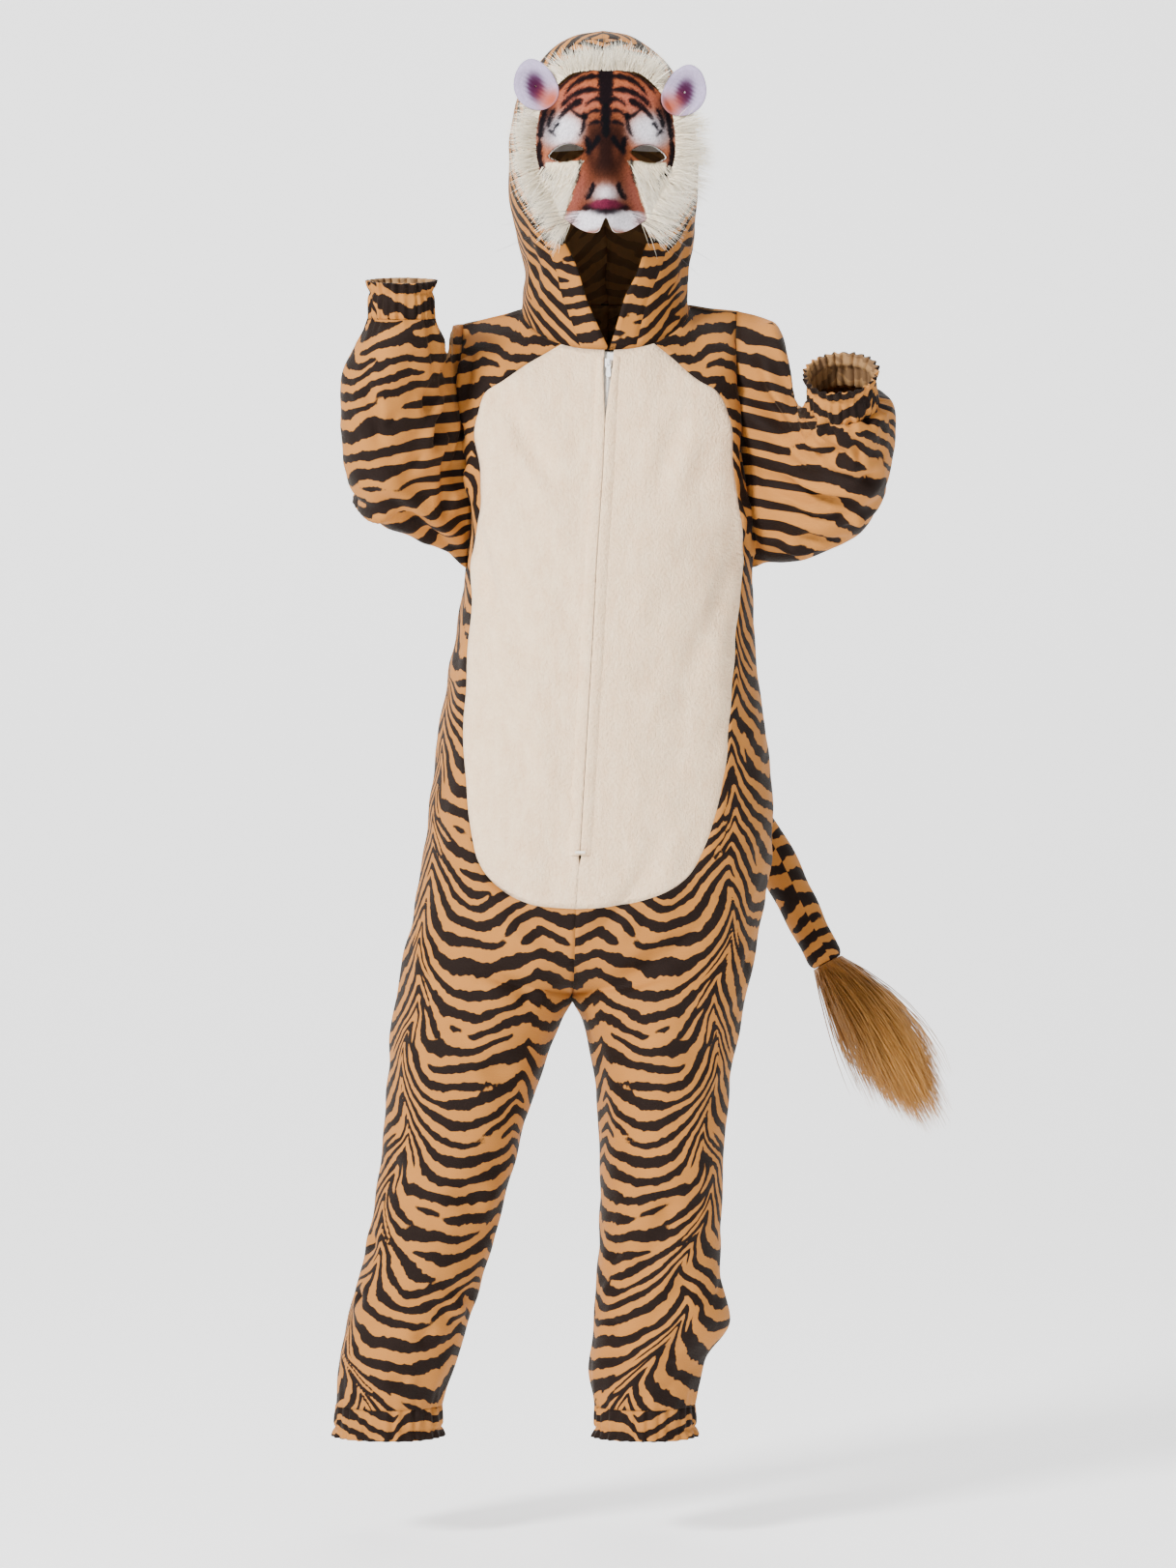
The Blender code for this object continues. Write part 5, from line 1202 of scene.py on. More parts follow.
def build_tuft(end, run):
    """The hair of the tail: fine strands from the tail's end, hanging and spreading as the solid's locks do,
    with clumps, a few fly-away hairs and tapered tips."""
    rng = np.random.default_rng(31)
    side = unit(np.cross(run, np.array([0.0, 1.0, 0.0])))
    up = np.cross(side, run)
    count = TUFT_STRANDS
    angle = rng.random(count) * 2 * np.pi
    r = np.sqrt(rng.random(count))
    disc = (np.cos(angle) * r)[:, None] * side + (np.sin(angle) * r)[:, None] * up
    root = end + run * 1.0 + disc * 14.0
    lean = unit(np.array(TUFT_LEAN))
    off = disc * 16.5
    clump = np.sin(angle * 5 + 3 * r) * 0.5 + np.sin(angle * 11 - 7 * r) * 0.5
    long = TUFT_LENGTH * (1 - TUFT_ROUNDING * r**2 - 0.16 * rng.random(count) + 0.05 * clump)
    long *= np.where(rng.random(count) < 0.12, 0.75, 1.0)
    stray = rng.normal(size=(count, 3)) * (1.5 + 2.2 * (r > 0.85)[:, None])
    tip = root + run * 8 + lean * long[:, None] + off * TUFT_SPREAD + stray * 1.6
    s = np.linspace(0, 1, TUFT_POINTS)[None, :, None]
    paths = root[:, None] * (1 - s) + tip[:, None] * s
    paths += (4 * s * (1 - s)) * (np.array(TUFT_BOW) * 0.5 + off * 0.22 + stray * 0.7)[:, None]
    paths += run * 6 * np.sin(np.pi * s)
    wave = np.sin(s[..., 0] * (5 + 3 * rng.random((count, 1))) + 6.3 * rng.random((count, 1)))
    paths += (wave * s[..., 0] * 1.1)[..., None] * np.cross(lean, rng.normal(size=(count, 1, 3)))
    radii = (0.42 + 0.32 * rng.random((count, 1))) * (1 - 0.9 * s[..., 0] ** 1.5)
    shades = 0.5 + 0.3 * clump + 0.5 * rng.random(count) - 0.25
    points, cells = tubes(paths, radii, STRAND_SIDES)
    obj = write_mesh("tail_hair", points, cells, strand_tones(shades, TUFT_POINTS))
    dress(obj, "hair")
    stand_for(obj, "tail_tuft")


def almond_distance(x, z):
    """How far a point of the mask lies outside the nearer eye hole, in millimetres, negative inside."""
    least = np.full(np.shape(x), 1e3)
    for eye_x, eye_z, tilt in EYES:
        turn = math.radians(tilt)
        a = (x - eye_x) * math.cos(turn) - (z - eye_z) * math.sin(turn)
        h = (x - eye_x) * math.sin(turn) + (z - eye_z) * math.cos(turn)
        high = EYE_HALF[1] * np.clip(1 - (a / EYE_HALF[0]) ** 2, 0, 1) ** 0.8
        high = np.where(h > 0, high, high * 0.85)
        across = np.hypot(np.maximum(np.abs(a) - EYE_HALF[0], 0), np.maximum(np.abs(h) - high, 0))
        inside = (np.abs(a) < EYE_HALF[0]) & (np.abs(h) < high)
        least = np.minimum(least, np.where(inside, -(high - np.abs(h)), across))
    return least


def stroke(x, z, x0, z0, x1, z1, wide0, wide1, bow=0.0):
    """Strength of a brush stroke from one point to another, 1 on its line and 0 beyond its width."""
    run = np.array([x1 - x0, z1 - z0])
    size = float(np.hypot(*run))
    share = ((x - x0) * run[0] + (z - z0) * run[1]) / size**2
    held = np.clip(share, 0, 1)
    off = ((x - x0) * run[1] - (z - z0) * run[0]) / size - bow * 4 * held * (1 - held)
    wide = (wide0 + (wide1 - wide0) * held) * np.clip(np.minimum(share, 1 - share) * 6 + 0.25, 0, 1)
    return 1 / (1 + np.exp((np.abs(off) - wide) * 2.2)) * ((share > -0.03) & (share < 1.03))


# Dark strokes of one half of the mask's face: ends from its middle line, both half widths and bow
DARK_STROKES = (
    (0, 213, 0, 176, 7.5, 6.0, 0),
    (0, 180, 0, 150, 6.0, 3.0, 0),
    (5, 211, 43, 191, 2.4, 1.8, -5),
    (5, 204, 36, 188, 3.2, 2.0, -5),
    (6, 192, 39, 178, 3.2, 2.2, -5),
    (20, 184, 42, 166, 4.2, 1.2, -2),
    (4, 184, 18, 178, 2.6, 1.2, -2),
    (5, 174, 19, 168, 2.4, 1.2, -2),
    (5, 164, 16, 161, 2.2, 1.0, -1),
    (19, 173, 23, 152, 2.4, 1.4, 2),
    (40, 165, 46, 156, 2.6, 0.6, -1),
    (49, 159, 43, 153, 1.8, 0.6, 0),
    (48, 187, 57, 150, 2.8, 3.2, -2),
    (57, 152, 51, 118, 3.2, 2.6, -3),
    (54, 124, 46, 108, 2.4, 1.2, 3),
    (22, 134, 26, 110, 1.6, 1.0, 1),
    # Painted shade: a dark streak down the side of the nose bridge, beside the nose.
    (11, 112, 17, 97, 2.2, 2.8, 2),
    (6, 152, 14, 140, 3.0, 1.6, 1),
    (15, 168, 30, 176, 2.6, 1.2, 2),
    (44, 178, 50, 160, 2.6, 1.6, -1),
    (17, 152, 15, 136, 2.6, 2.2, 1),
)
FACE_COLOURS = {
    "orange": (0.38, 0.135, 0.060),
    "white": (0.74, 0.71, 0.76),
    "dark": (0.006, 0.006, 0.011),
    "nose": (0.17, 0.030, 0.065),
    "brown": (0.034, 0.014, 0.011),
    "tan": (0.17, 0.062, 0.034),
    "cream": (0.80, 0.70, 0.53),
    "pink": (0.46, 0.17, 0.15),
}
EAR_COLOURS = {
    "pale": (0.50, 0.43, 0.60),
    "inner": (0.060, 0.010, 0.045),
    "root": (0.40, 0.10, 0.05),
    "edge": (0.25, 0.22, 0.30),
}


def soft_patch(x, z, x0, z0, half_x, half_z, edge=0.25):
    """Strength of an oval patch with a soft edge."""
    r = np.hypot((x - x0) / half_x, (z - z0) / half_z)
    return 1 / (1 + np.exp((r - 1) / edge * 2))


def muzzle_half(z):
    """Half width of the muzzle at a height, where the cheeks start."""
    return 19.5 + (130 - z) * 0.33


def laid_over(colours, tint, strength):
    """Colours with a tint over them, at its strength for each point."""
    return colours * (1 - strength[..., None]) + np.array(tint) * strength[..., None]


def face_paint(x, z):
    """Colours of the mask's face, the same on both halves: an orange brow, white over the eyes, a brown
    bridge with a painted highlight down its middle, a white muzzle with a pink nose, cream cheeks, and dark
    strokes, one of them a painted shade streak beside the nose."""
    rng = np.random.default_rng(3)
    m = np.abs(x - MASK_MIDDLE_X)
    grain = rng.normal(size=np.shape(x))
    jitter = 0.9 * np.sin(m * 0.9 + z * 0.7) + 0.5 * grain
    mm, zz = m + 0.35 * jitter, z + 0.35 * jitter
    colour = np.broadcast_to(np.array(FACE_COLOURS["orange"]), np.shape(x) + (3,)).copy()

    def lay(name, strength):
        nonlocal colour
        colour = laid_over(colour, FACE_COLOURS[name], np.clip(strength, 0, 1))

    lay("pink", 0.6 * soft_patch(mm, zz, 26, 184, 18, 9, 0.8))
    lay("white", soft_patch(mm, zz, 38, 158, 17, 13, 0.35))
    lay("white", 0.9 * soft_patch(mm, zz, 52, 110, 9, 14, 0.6))
    inner = muzzle_half(zz)
    lay("cream", (zz < 131) & (mm > inner) & (mm < 52))
    lay("tan", 0.8 * soft_patch(mm, zz, 12, 158, 3.5, 7, 0.5))
    lay("brown", 0.7 * soft_patch(mm, zz, 50, 172, 7, 22, 0.5))
    bridge = 1 / (1 + np.exp((mm - inner) * 1.2)) * (zz < 131)
    lay("tan", 1.0 * bridge * soft_patch(mm, zz, 0, 98, 60, 26, 0.3))
    lay("pink", 0.4 * bridge * soft_patch(mm - inner, zz, 0, 92, 9, 34, 0.5))
    # Painted highlight: a lighter orange patch down the middle of the nose bridge.
    lay("orange", 0.5 * soft_patch(mm, zz, 0, 108, 9, 12, 0.6))
    lay("brown", 1.03 * soft_patch(mm, zz, 0, 141, 20, 29, 0.3))
    lay("tan", 0.5 * soft_patch(mm, zz, 9, 138, 3, 8, 0.6))
    lay("white", 0.8 * soft_patch(mm, zz, 0, 101, 9, 6, 0.6))
    lay("white", soft_patch(mm, zz, 17, 79, 20, 8.5, 0.22) * (zz < 88))
    lay("pink", 0.55 * soft_patch(mm, zz, 31, 78, 6, 5, 0.6))
    lay("dark", 0.95 * soft_patch(mm, zz, 15, 90, 6, 2.8, 0.4))
    lay("dark", 0.95 * soft_patch(mm, zz, 0, 87, 12, 4.4, 0.3))
    lay("nose", soft_patch(mm, zz, 0, 92, 13.5, 4.4, 0.22))
    lay("dark", 0.6 * soft_patch(mm, zz, 27, 78, 5, 3.0, 0.5) * (np.sin(zz * 2.4 + mm) > 0.4))
    for x0, z0, x1, z1, wide0, wide1, bow in DARK_STROKES:
        lay("dark", 0.97 * stroke(mm + 0.4 * grain, zz, x0, z0, x1, z1, wide0, wide1, bow))
    fleck = 0.5 + 0.5 * np.sin(zz * 3.1 + 1.7 * np.sin(m * 2.3)) * np.sin(m * 2.9 + zz)
    hairs = np.sin(2.6 * m + 1.3 * np.sin(z * 0.8) + 0.6 * grain) * np.sin(0.9 * z + 2.0 * np.sin(m * 1.1))
    colour *= (0.84 + 0.20 * fleck + 0.13 * hairs + 0.06 * grain)[..., None]
    colour = np.clip(colour, 0.008, 0.9) ** 1.3
    rim = np.exp(-np.clip(almond_distance(x, z) - 0.6, 0, None) / 0.6)
    return colour * (1 - 0.85 * rim[..., None])


def paint_attribute(colours):
    """Colours of a mesh's points as its paint."""
    return [("paint", "FLOAT_COLOR", np.concatenate([colours, np.ones((len(colours), 1))], axis=1))]


def build_mask():
    """The mask's face: a fine curved sheet with the solids' almond holes, a soft relief and its painting."""
    rows, cols = 182, 160
    b = np.linspace(0, 1, rows)[:, None]
    a = np.linspace(-1, 1, cols)[None]
    z = MASK[0][0] + (MASK[-1][0] - MASK[0][0]) * (b * b * (3 - 2 * b) * 0.35 + b * 0.65)
    drop = 3.0 * np.abs(a) * (1 - b) - 6.0 * a**2 * b**2
    x = MASK_MIDDLE_X + mask_columns(z)["half"] * a
    z = z + drop
    lobe = 4.0 * np.abs(np.sin(np.abs(a) * np.pi)) * (1 - b) ** 6
    z = z - lobe + 9.5 * np.exp(-((a / 0.17) ** 2)) * (1 - b) ** 10
    far = almond_distance(x, z)
    slope_x = almond_distance(x + 0.5, z) - almond_distance(x - 0.5, z)
    slope_z = almond_distance(x, z + 0.5) - almond_distance(x, z - 0.5)
    near = np.abs(far) < 0.55
    size = np.maximum(np.hypot(slope_x, slope_z), 0.6)
    x = x - np.where(near, far * slope_x / size**2, 0)
    z = z - np.where(near, far * slope_z / size**2, 0)
    m = x - MASK_MIDDLE_X
    relief = 1.2 * np.exp(-((np.abs(m) - 17) / 10) ** 2 - ((z - 84) / 9) ** 2)
    relief += 1.5 * np.exp(-((m / 9) ** 2) - ((z - 92) / 5) ** 2)
    relief += 0.8 * np.exp(-((np.abs(m) - 35) / 16) ** 2 - ((z - 156) / 8) ** 2)
    grid = np.stack([x, mask_depth(x, z) - relief, z], axis=-1)
    cells = quads(rows, cols)
    centre = far.ravel()[cells].mean(axis=1)
    cells = cells[centre > -0.1]
    points = grid.reshape(-1, 3)
    used = np.unique(cells)
    number = np.full(len(points), -1)
    number[used] = np.arange(len(used))
    colours = face_paint(x, z).reshape(-1, 3)[used]
    obj = write_mesh("mask_face_felt", points[used], number[cells], paint_attribute(colours))
    dress(obj, "mask", "foam")
    thicken(obj, MASK_THICK).material_offset_rim = 1
    stand_for(obj, "mask_face")


def build_ears():
    """Round ears: a cupped disc with pale felt round a purple middle and an orange root."""
    for side, sign in SIDES.items():
        mid_x, mid_z = EARS[side]
        a = np.linspace(0, 2 * np.pi, RING_POINTS)[None]
        r = np.linspace(0, 1, 27)[:, None]
        z = mid_z + EAR_HALF[1] * r * np.sin(a) * (1 + 0.14 * (np.sin(a) > 0) * np.sin(a) ** 2)
        x = mid_x + EAR_HALF[0] * r * np.cos(a) * (1 - 0.10 * np.sin(a)) + 0.16 * sign * (z - mid_z)
        cup = 2.2 * (1 - r**2) * 0.6 - 0.8 * np.exp(-(((r - 0.86) / 0.1) ** 2))
        y = mask_depth(x, z) - 0.6 - 0.6 + cup * 0.5
        grid = np.stack(np.broadcast_arrays(x, y, z), axis=-1)
        u = (x - mid_x) * sign + 0.7 * np.sin(z * 1.7 + x)
        inner = soft_patch(u - 0.16 * (z - mid_z), z - mid_z, 0, -1, 8.5, 12.5, 0.3)
        grain = np.random.default_rng(8).normal(size=grid.shape[:2])
        root = soft_patch(u, z - mid_z, -14, -13, 10, 11, 0.5)
        edge = np.exp(-((1 - r) / 0.05) ** 2) * 0.35 + 0 * a
        tone = np.array(EAR_COLOURS["pale"]) * (0.93 + 0.05 * grain[..., None])
        for name, strength in (("inner", inner), ("root", root), ("edge", edge)):
            tone = laid_over(tone, EAR_COLOURS[name], strength)
        tone = np.clip(tone, 0.01, 1) ** 1.15
        values, cells = joined([(np.concatenate([grid, tone, 0 * grid[..., :1]], axis=-1), False)])
        obj = write_mesh("mask_ear_%s_felt" % side, values[:, :3], cells, paint_attribute(values[:, 3:6]))
        dress(obj, "mask")
        thicken(obj, EAR_THICK, offset=1)
        stand_for(obj, "mask_ear_" + side)


def mask_edge(angles):
    """Places on the mask's outline in these directions from its middle."""
    c = columns(MASK, MASK_COLUMNS)
    reach = np.linspace(5, 100, 800)[None]
    x = reach * np.cos(angles)[:, None]
    z = FUR_MIDDLE_Z + reach * np.sin(angles)[:, None]
    half = np.interp(z, c["z"], c["half"], left=0, right=0)
    inside = (np.abs(x) < half) & (z > MASK[0][0]) & (z < MASK[-1][0])
    last = np.where(inside, reach, 0).max(axis=1)
    x, z = MASK_MIDDLE_X + last * np.cos(angles), FUR_MIDDLE_Z + last * np.sin(angles)
    return np.stack([x, mask_depth(x, z), z], axis=1)


def fur_strands(root, reach, sway, rng, thick):
    """Strands from roots in the directions reach, bent by sway, as thin tapered tubes."""
    s = np.linspace(0, 1, FUR_POINTS)[None, :, None]
    paths = root[:, None] + reach[:, None] * s + sway[:, None] * s**2
    radii = thick * (0.7 + 0.6 * rng.random((len(root), 1))) * (1 - 0.85 * s[..., 0] ** 1.3)
    return tubes(paths, radii, STRAND_SIDES)


def build_fur():
    """The fur edge: long soft strands from a band round the mask, and shorter ones down its cheeks."""
    rng = np.random.default_rng(17)
    edge = mask_edge(np.radians(np.linspace(*FUR_ENDS, FUR_STEPS)))
    for _ in range(60):
        edge[1:-1] = (edge[:-2] + 2 * edge[1:-1] + edge[2:]) / 4
    run = unit(np.gradient(edge, axis=0))
    out = unit(np.cross(run, np.array([0.0, 1.0, 0.0])))
    out *= np.sign((out * (edge - edge.mean(axis=0))).sum(axis=1, keepdims=True))
    count = FUR_STRANDS
    at = rng.random(count) * (FUR_STEPS - 1.01)
    k = at.astype(int)
    f = (at - k)[:, None]
    place = edge[k] * (1 - f) + edge[k + 1] * f
    away = unit(out[k] * (1 - f) + out[k + 1] * f)
    along = run[k]
    layer = rng.random((count, 1)) ** 1.5
    back = np.array([0.0, 1.0, 0.0])
    root = place + away * (layer * 9.0 - 1.6) + back * (0.15 + 4.5 * rng.random((count, 1)) * layer)
    clump = np.sin(at / 4.1)[:, None] * 0.5 + np.sin(at / 1.7 + 1)[:, None] * 0.3
    low_left = np.clip(place[:, :1] / 60, 0, 1) * np.clip((190 - place[:, 2:]) / 40, 0, 1)
    long = (12 + 12 * rng.random((count, 1)) + 5 * clump) * (1 - 0.15 * layer) * (1 + 0.55 * low_left)
    tilt = -0.75 * (1 - layer) + 0.15 * layer + 0.26 * rng.normal(size=(count, 1))
    reach = unit(away + back * tilt + along * (0.35 * clump + 0.26 * rng.normal(size=(count, 1)))) * long
    from_ear = np.min([np.hypot(root[:, 0] - x, root[:, 2] - z) for x, z in EARS.values()], axis=0)
    under = (from_ear < EAR_CLEAR) & (reach[:, 1] < 0.5)
    reach = np.where(under[:, None], reach * [0.8, 0.0, 0.8] + [0, 2.5, 0], reach)
    sway = np.array([0, 0.0, -2.5]) + rng.normal(size=(count, 3)) * 0.9 + away
    edge_points, edge_cells = fur_strands(root, reach, sway, rng, 0.30)
    cheek = CHEEK_STRANDS
    side = np.where(rng.random(cheek) < 0.5, -1.0, 1.0)
    z = 82 + 47 * rng.random(cheek)
    inner = muzzle_half(z) + 1
    outer = mask_columns(z)["half"] - 1
    m = inner + (outer - inner) * rng.random(cheek)
    x = MASK_MIDDLE_X + side * m
    root = np.stack([x, mask_depth(x, z) - 0.1, z], axis=1)
    outward = side * (3.0 + 3 * rng.random(cheek))
    forward = -1.6 - 1.6 * rng.random(cheek)
    reach = np.stack([outward, forward, -5.5 - 3 * rng.random(cheek)], axis=1)
    sway = np.broadcast_to([0, 1.2, -0.5], reach.shape)
    points, cells = fur_strands(root, reach, sway, rng, 0.27)
    cells = np.concatenate([edge_cells, cells + len(edge_points)])
    points = np.concatenate([edge_points, points])
    obj = write_mesh("mask_fur_hair", points, cells, strand_tones(rng.random(count + cheek), FUR_POINTS))
    dress(obj, "fur")
    stand_for(obj, "mask_fur")


def build_whiskers():
    """A few thin dark whiskers from each side of the muzzle."""
    paths = []
    for sign in (-1, 1):
        for n in range(5):
            x0, z0 = MASK_MIDDLE_X + sign * (20 + 2 * n), 88 - 2.4 * n
            s = np.linspace(0, 1, 12)
            long = 58 + 9 * math.sin(2.3 * n + sign)
            droop = -6 - 5 * n if sign < 0 else -14 - 8 * n
            x = x0 + sign * long * s
            z = z0 + droop * s + 4 * s * (1 - s)
            y = mask_depth(x0, z0) - 0.2 - 10 * s + 4 * s**2
            paths.append(np.stack([x, y + 0 * s, z], axis=1))
    paths = np.array(paths)
    radii = 0.28 * (1 - 0.75 * np.linspace(0, 1, 12))[None].repeat(len(paths), axis=0)
    obj = write_mesh("mask_whiskers", *tubes(paths, radii, 5))
    dress(obj, "whisker")
    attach(obj, "suit")


def new_material(name):
    """A material with only its shader and output, its node tree and the shader."""
    made = bpy.data.materials.new(name)
    made.use_nodes = True
    return made, made.node_tree, made.node_tree.nodes["Principled BSDF"]


def add_node(tree, kind, settings=(), **inputs):
    """A node with its settings and inputs, each input a value or an output of another node."""
    node = tree.nodes.new("ShaderNode" + kind)
    for name, value in dict(settings).items():
        setattr(node, name, value)
    for name, value in inputs.items():
        key = int(name[1:]) if name[0] == "i" and name[1:].isdigit() else name.replace("_", " ")
        if isinstance(value, bpy.types.NodeSocket):
            tree.links.new(value, node.inputs[key])
        else:
            node.inputs[key].default_value = value
    return node


def maths(tree, operation, first, second=0.0):
    """Output of a math node."""
    return add_node(tree, "Math", {"operation": operation}, i0=first, i1=second).outputs[0]


def blend(tree, share, first, second):
    """Output of a colour mix: first where share is 0 and second where it is 1."""
    node = tree.nodes.new("ShaderNodeMix")
    node.data_type = "RGBA"
    for key, value in ((0, share), (6, first), (7, second)):
        if isinstance(value, bpy.types.NodeSocket):
            tree.links.new(value, node.inputs[key])
        else:
            node.inputs[key].default_value = (*value, 1.0) if isinstance(value, tuple) else value
    return node.outputs[2]


def noise(tree, place, scale, detail=2.0, rough=0.5):
    """Output of a noise texture at a place."""
    node = add_node(tree, "TexNoise", Vector=place, Scale=scale, Detail=detail, Roughness=rough)
    return node.outputs["Fac"]


def ramp(tree, value, **ends):
    """Output of a map range: i1 and i2 are the value's ends, and i3 and i4 what they become."""
    return add_node(tree, "MapRange", i0=value, **ends).outputs[0]


def colour_by(tree, shader, colour, strength):
    """Gives a shader its colour, brighter or darker by strength."""
    scaled = add_node(tree, "VectorMath", {"operation": "SCALE"}, i0=colour, Scale=strength)
    tree.links.new(scaled.outputs[0], shader.inputs["Base Color"])


def swing(tree, value, size):
    """A noise's value as a swing of this size to both sides of nothing."""
    return maths(tree, "MULTIPLY", maths(tree, "SUBTRACT", value, 0.5), size)


def bump(tree, shader, height, strength, distance):
    """Bump on a shader, distance in millimetres."""
    node = add_node(tree, "Bump", Strength=strength, Distance=distance * MM, Height=height)
    tree.links.new(node.outputs[0], shader.inputs["Normal"])


def set_shader(shader, **values):
    """Fixed values of a shader's inputs."""
    for name, value in values.items():
        shader.inputs[name.replace("_", " ")].default_value = value


def attribute(tree, name):
    """A vector attribute of the mesh and its three parts."""
    node = add_node(tree, "Attribute", {"attribute_name": name, "attribute_type": "GEOMETRY"})
    parts = add_node(tree, "SeparateXYZ", Vector=node.outputs["Vector"])
    return node.outputs["Vector"], parts.outputs


def velour_material(name, dark, tan, contrast):
    """Striped velour: a stripe is where the print's wave is above a threshold, its edges made wavy by noise.
    The pile is a fine bump with cross ribs, and seams lie in soft grooves."""
    made, tree, shader = new_material(name)
    _, wave = attribute(tree, "print")
    cloth, parts = attribute(tree, "cloth")
    slow = swing(tree, noise(tree, cloth, 0.045, 1.0), 2.2)
    fast = swing(tree, noise(tree, cloth, 0.15, 1.0), 1.6)
    phase = maths(tree, "ADD", wave[0], maths(tree, "ADD", slow, fast))
    real = maths(tree, "MULTIPLY", wave[1], maths(tree, "COSINE", phase))
    imaginary = maths(tree, "MULTIPLY", wave[2], maths(tree, "SINE", phase))
    level = maths(tree, "SUBTRACT", real, imaginary)
    pile = noise(tree, cloth, 1.3, 2.0, 0.6)
    level = maths(tree, "ADD", level, swing(tree, pile, 0.22))
    share = ramp(tree, level, i1=-0.08, i2=0.02)
    tint = noise(tree, cloth, 0.03, 2.0)
    ground = blend(tree, tint, tuple(0.88 * c for c in tan), tuple(1.08 * c for c in tan))
    colour = blend(tree, maths(tree, "MULTIPLY", share, contrast), ground, dark)
    colour_by(tree, shader, colour, ramp(tree, pile, i3=0.82, i4=1.14))
    set_shader(shader, Roughness=0.72, Sheen_Weight=0.04, Sheen_Roughness=0.4, Specular_IOR_Level=0.14)
    shader.inputs["Sheen Tint"].default_value = (1.0, 0.85, 0.65, 1.0)
    rib = maths(tree, "MULTIPLY", maths(tree, "SINE", maths(tree, "MULTIPLY", parts[1], 5.2)), 0.10)
    groove = maths(tree, "MULTIPLY", parts[2], -2.6)
    crumple = maths(tree, "MULTIPLY", noise(tree, cloth, 0.09, 3.0), 1.3)
    height = maths(tree, "ADD", maths(tree, "ADD", pile, rib), maths(tree, "ADD", groove, crumple))
    bump(tree, shader, height, 0.55, 0.8)
    return made


def plush_material():
    """Cream plush: short pile in small tufts, slightly mottled."""
    made, tree, shader = new_material("plush")
    cloth, parts = attribute(tree, "cloth")
    brushed = add_node(tree, "VectorMath", {"operation": "MULTIPLY"}, i0=cloth, i1=(1.0, 0.35, 1.0))
    brushed = brushed.outputs[0]
    fine = noise(tree, brushed, 0.85, 3.0, 0.65)
    coarse = noise(tree, brushed, 0.14, 3.0)
    mottle = maths(tree, "ADD", maths(tree, "MULTIPLY", fine, 0.55), maths(tree, "MULTIPLY", coarse, 0.45))
    share = ramp(tree, mottle, i1=0.3, i2=0.7)
    colour = blend(tree, share, (0.82, 0.54, 0.31), (1.0, 0.77, 0.51))
    tree.links.new(colour, shader.inputs["Base Color"])
    set_shader(shader, Roughness=0.95, Sheen_Weight=0.2, Sheen_Roughness=0.5, Specular_IOR_Level=0.1)
    height = maths(tree, "ADD", fine, maths(tree, "MULTIPLY", parts[2], -1.2))
    height = maths(tree, "ADD", height, maths(tree, "MULTIPLY", noise(tree, cloth, 0.35, 2.0), 1.2))
    bump(tree, shader, height, 0.9, 1.7)
    return made


def plain_material(name, colour, rough, scale, strength, spread=0.1, distance=0.3, **values):
    """A plain material with fine noise in its colour and its surface."""
    made, tree, shader = new_material(name)
    place = add_node(tree, "TexCoord").outputs["Object"]
    grain = noise(tree, place, scale / MM, 2.0)
    low = tuple(c * (1 - spread) for c in colour)
    high = tuple(min(c * (1 + spread), 1) for c in colour)
    tree.links.new(blend(tree, grain, low, high), shader.inputs["Base Color"])
    set_shader(shader, Roughness=rough, **values)
    bump(tree, shader, grain, strength, distance)
    return made


def strand_material(name, root, tip, rough, **values):
    """Hair or fur: each strand has its own shade and changes from root to tip."""
    made, tree, shader = new_material(name)
    _, tone = attribute(tree, "tone")
    along = blend(tree, tone[1], root, tip)
    colour_by(tree, shader, along, ramp(tree, tone[0], i3=0.8, i4=1.15))
    set_shader(shader, Roughness=rough, **values)
    return made


def painted_material():
    """Felt with the colours painted on its points and a fine nap."""
    made, tree, shader = new_material("mask_print")
    paint = add_node(tree, "Attribute", {"attribute_name": "paint", "attribute_type": "GEOMETRY"})
    place = add_node(tree, "TexCoord").outputs["Object"]
    nap = noise(tree, place, 1.4 / MM, 2.0, 0.7)
    colour_by(tree, shader, paint.outputs["Color"], ramp(tree, nap, i3=0.8, i4=1.15))
    set_shader(shader, Roughness=0.85, Specular_IOR_Level=0.05)
    bump(tree, shader, nap, 0.4, 0.4)
    return made


MATERIALS = {
    "velour": velour_material("velour", (0.0085, 0.0030, 0.0012), (0.43, 0.170, 0.033), 1.0),
    "reverse": velour_material("velour_reverse", (0.09, 0.05, 0.03), (0.34, 0.19, 0.08), 0.55),
    "plush": plush_material(),
    "white_nylon": plain_material("white_nylon", (0.86, 0.86, 0.84), 0.35, 0.5, 0.1, 0.03),
    "zip_tape": plain_material("zip_tape_weave", (0.84, 0.83, 0.79), 0.85, 1.6, 0.5, 0.06),
    "enamel": plain_material("white_enamel", (0.86, 0.86, 0.85), 0.3, 0.3, 0.05, 0.02, Coat_Weight=0.3),
    "elastic": plain_material("elastic_weave", (0.82, 0.82, 0.80), 0.8, 1.3, 0.5, 0.08),
    "thread": plain_material("tack_thread", (0.82, 0.75, 0.62), 0.8, 1.5, 0.6, 0.15),
    "foam": plain_material("white_foam", (0.78, 0.76, 0.72), 0.9, 0.8, 0.4, 0.06),
    "whisker": plain_material("whisker_bristle", (0.035, 0.03, 0.03), 0.4, 0.5, 0.05),
    "hair": strand_material(
        "ginger_hair", (0.30, 0.125, 0.022), (0.56, 0.27, 0.06), 0.42, Specular_IOR_Level=0.5
    ),
    "fur": strand_material("cream_fur", (0.97, 0.84, 0.62), (1.0, 0.94, 0.80), 0.6, Sheen_Weight=0.2),
    "mask": painted_material(),
    "floor": plain_material("floor_paper", (0.86, 0.86, 0.86), 0.9, 0.02, 0.0, 0.01),
}


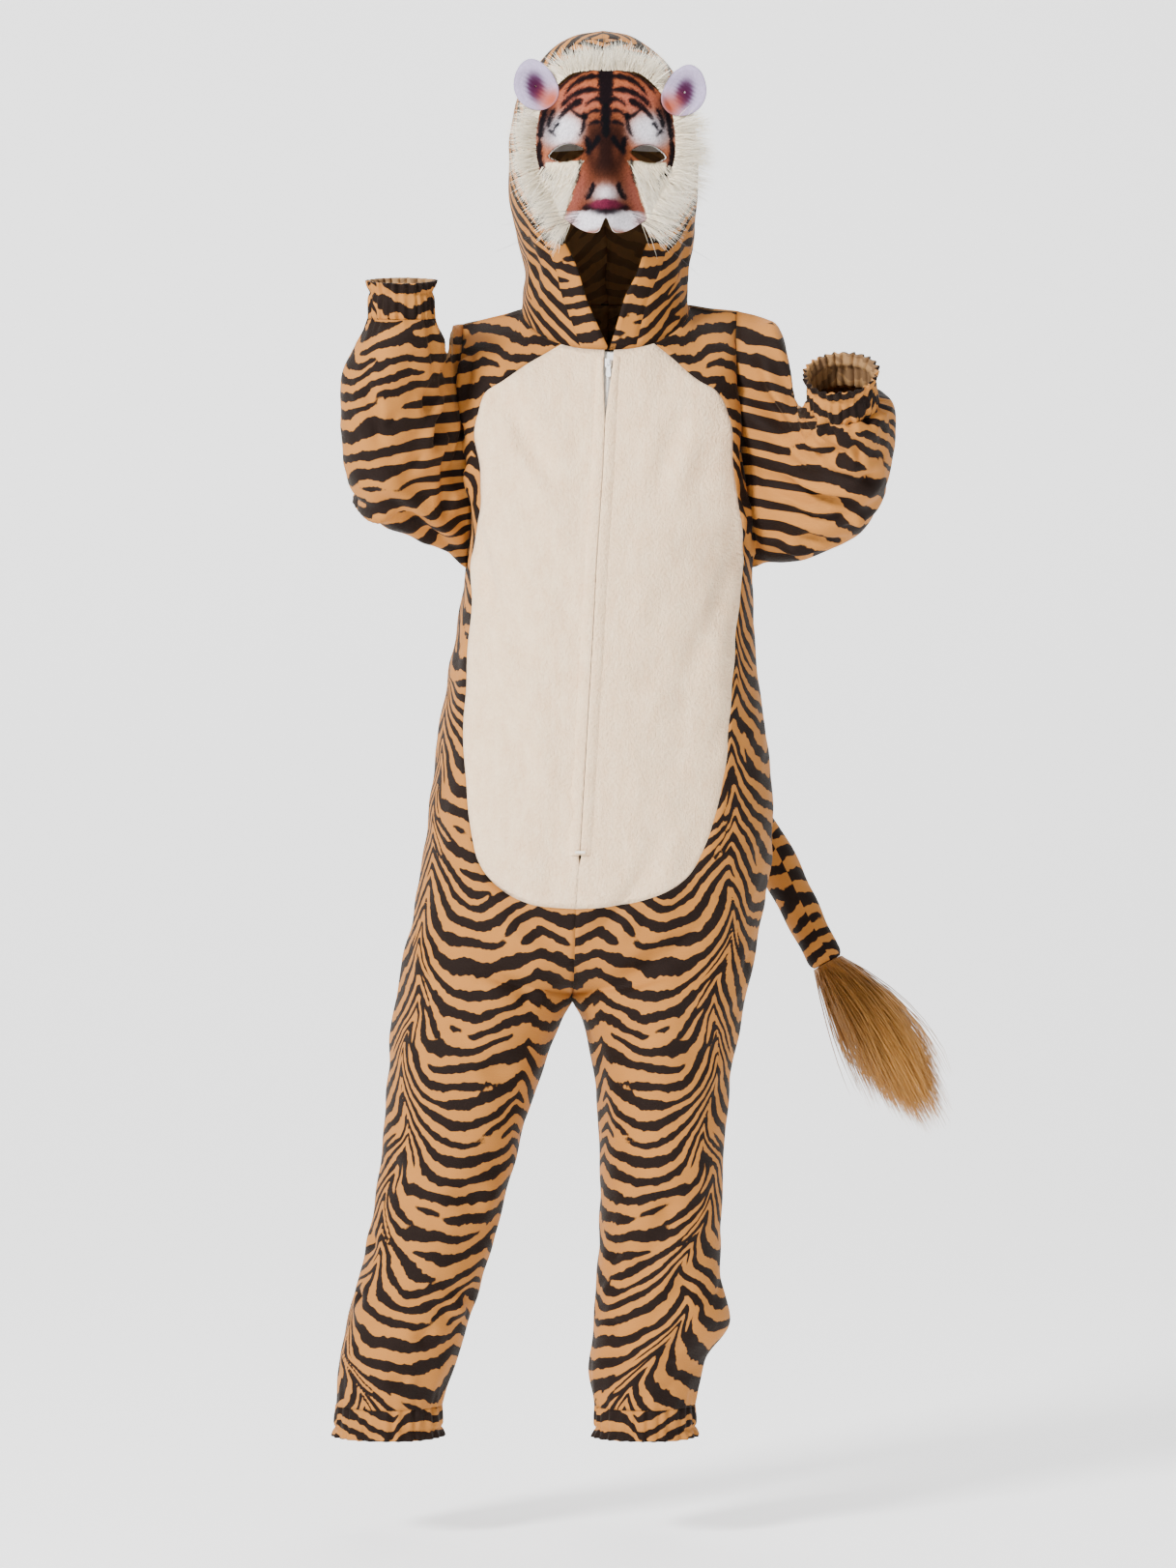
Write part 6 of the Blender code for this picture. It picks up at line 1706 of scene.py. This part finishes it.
def build_stage():
    """Pale floor curved up behind the suit, soft lights, and the camera of the photo."""
    s = np.linspace(0, 1, FLOOR_ROWS)
    turn = np.clip((s - 0.5) / 0.2, 0, 1) * np.pi / 2
    flat = FLOOR_FRONT + (FLOOR_BACK - FLOOR_FRONT) * s / 0.5
    y = np.where(s < 0.5, flat, FLOOR_BACK + FLOOR_BEND * np.sin(turn))
    z = FLOOR_Z + FLOOR_BEND * (1 - np.cos(turn)) + np.clip(s - 0.7, 0, 1) * 16
    x = np.array([-FLOOR_HALF, FLOOR_HALF])
    grid = np.stack(np.broadcast_arrays(x[None], y[:, None], z[:, None]), axis=-1) / MM
    floor = write_mesh("floor", grid.reshape(-1, 3), quads(FLOOR_ROWS, 2))
    dress(floor, "floor")
    glow = MATERIALS["floor"].node_tree.nodes["Principled BSDF"].inputs
    glow["Emission Color"].default_value = WHITE
    glow["Emission Strength"].default_value = FLOOR_GLOW
    for name, place, size, power in LIGHTS:
        light = bpy.data.lights.new(name, "AREA")
        light.energy = power
        light.size = size
        lamp = bpy.data.objects.new(name, light)
        lamp.location = place
        x, y, z = np.array([0, 0, -0.4]) - np.array(place)
        lamp.rotation_euler = (math.atan2(math.hypot(x, y), -z), 0, math.atan2(-x, y))
        bpy.context.scene.collection.objects.link(lamp)
    world = bpy.data.worlds.new("studio")
    world.use_nodes = True
    sky = world.node_tree.nodes["Background"].inputs
    sky["Color"].default_value = WHITE
    sky["Strength"].default_value = WORLD_GLOW
    bpy.context.scene.world = world
    lens = bpy.data.cameras.new("camera")
    lens.sensor_fit = "VERTICAL"
    lens.sensor_height = 24
    lens.lens = 12 * -CAMERA_PLACE[1] / CAMERA_HALF
    lens.clip_end = 50
    camera = bpy.data.objects.new("camera", lens)
    camera.location = CAMERA_PLACE
    camera.rotation_euler = (math.pi / 2, 0, 0)
    bpy.context.scene.collection.objects.link(camera)
    bpy.context.scene.camera = camera


def main():
    """Builds every piece and the stage."""
    for name, finish in CARRIED.items():
        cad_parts[name].data.materials.clear()
        dress(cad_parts[name], finish)
    for name, (obj, (area, high)) in build_cloth().items():
        declare(obj, name)
    build_fly()
    build_tape()
    build_teeth()
    build_tuft(*build_tail())
    build_mask()
    build_ears()
    build_fur()
    build_whiskers()
    build_stage()


main()
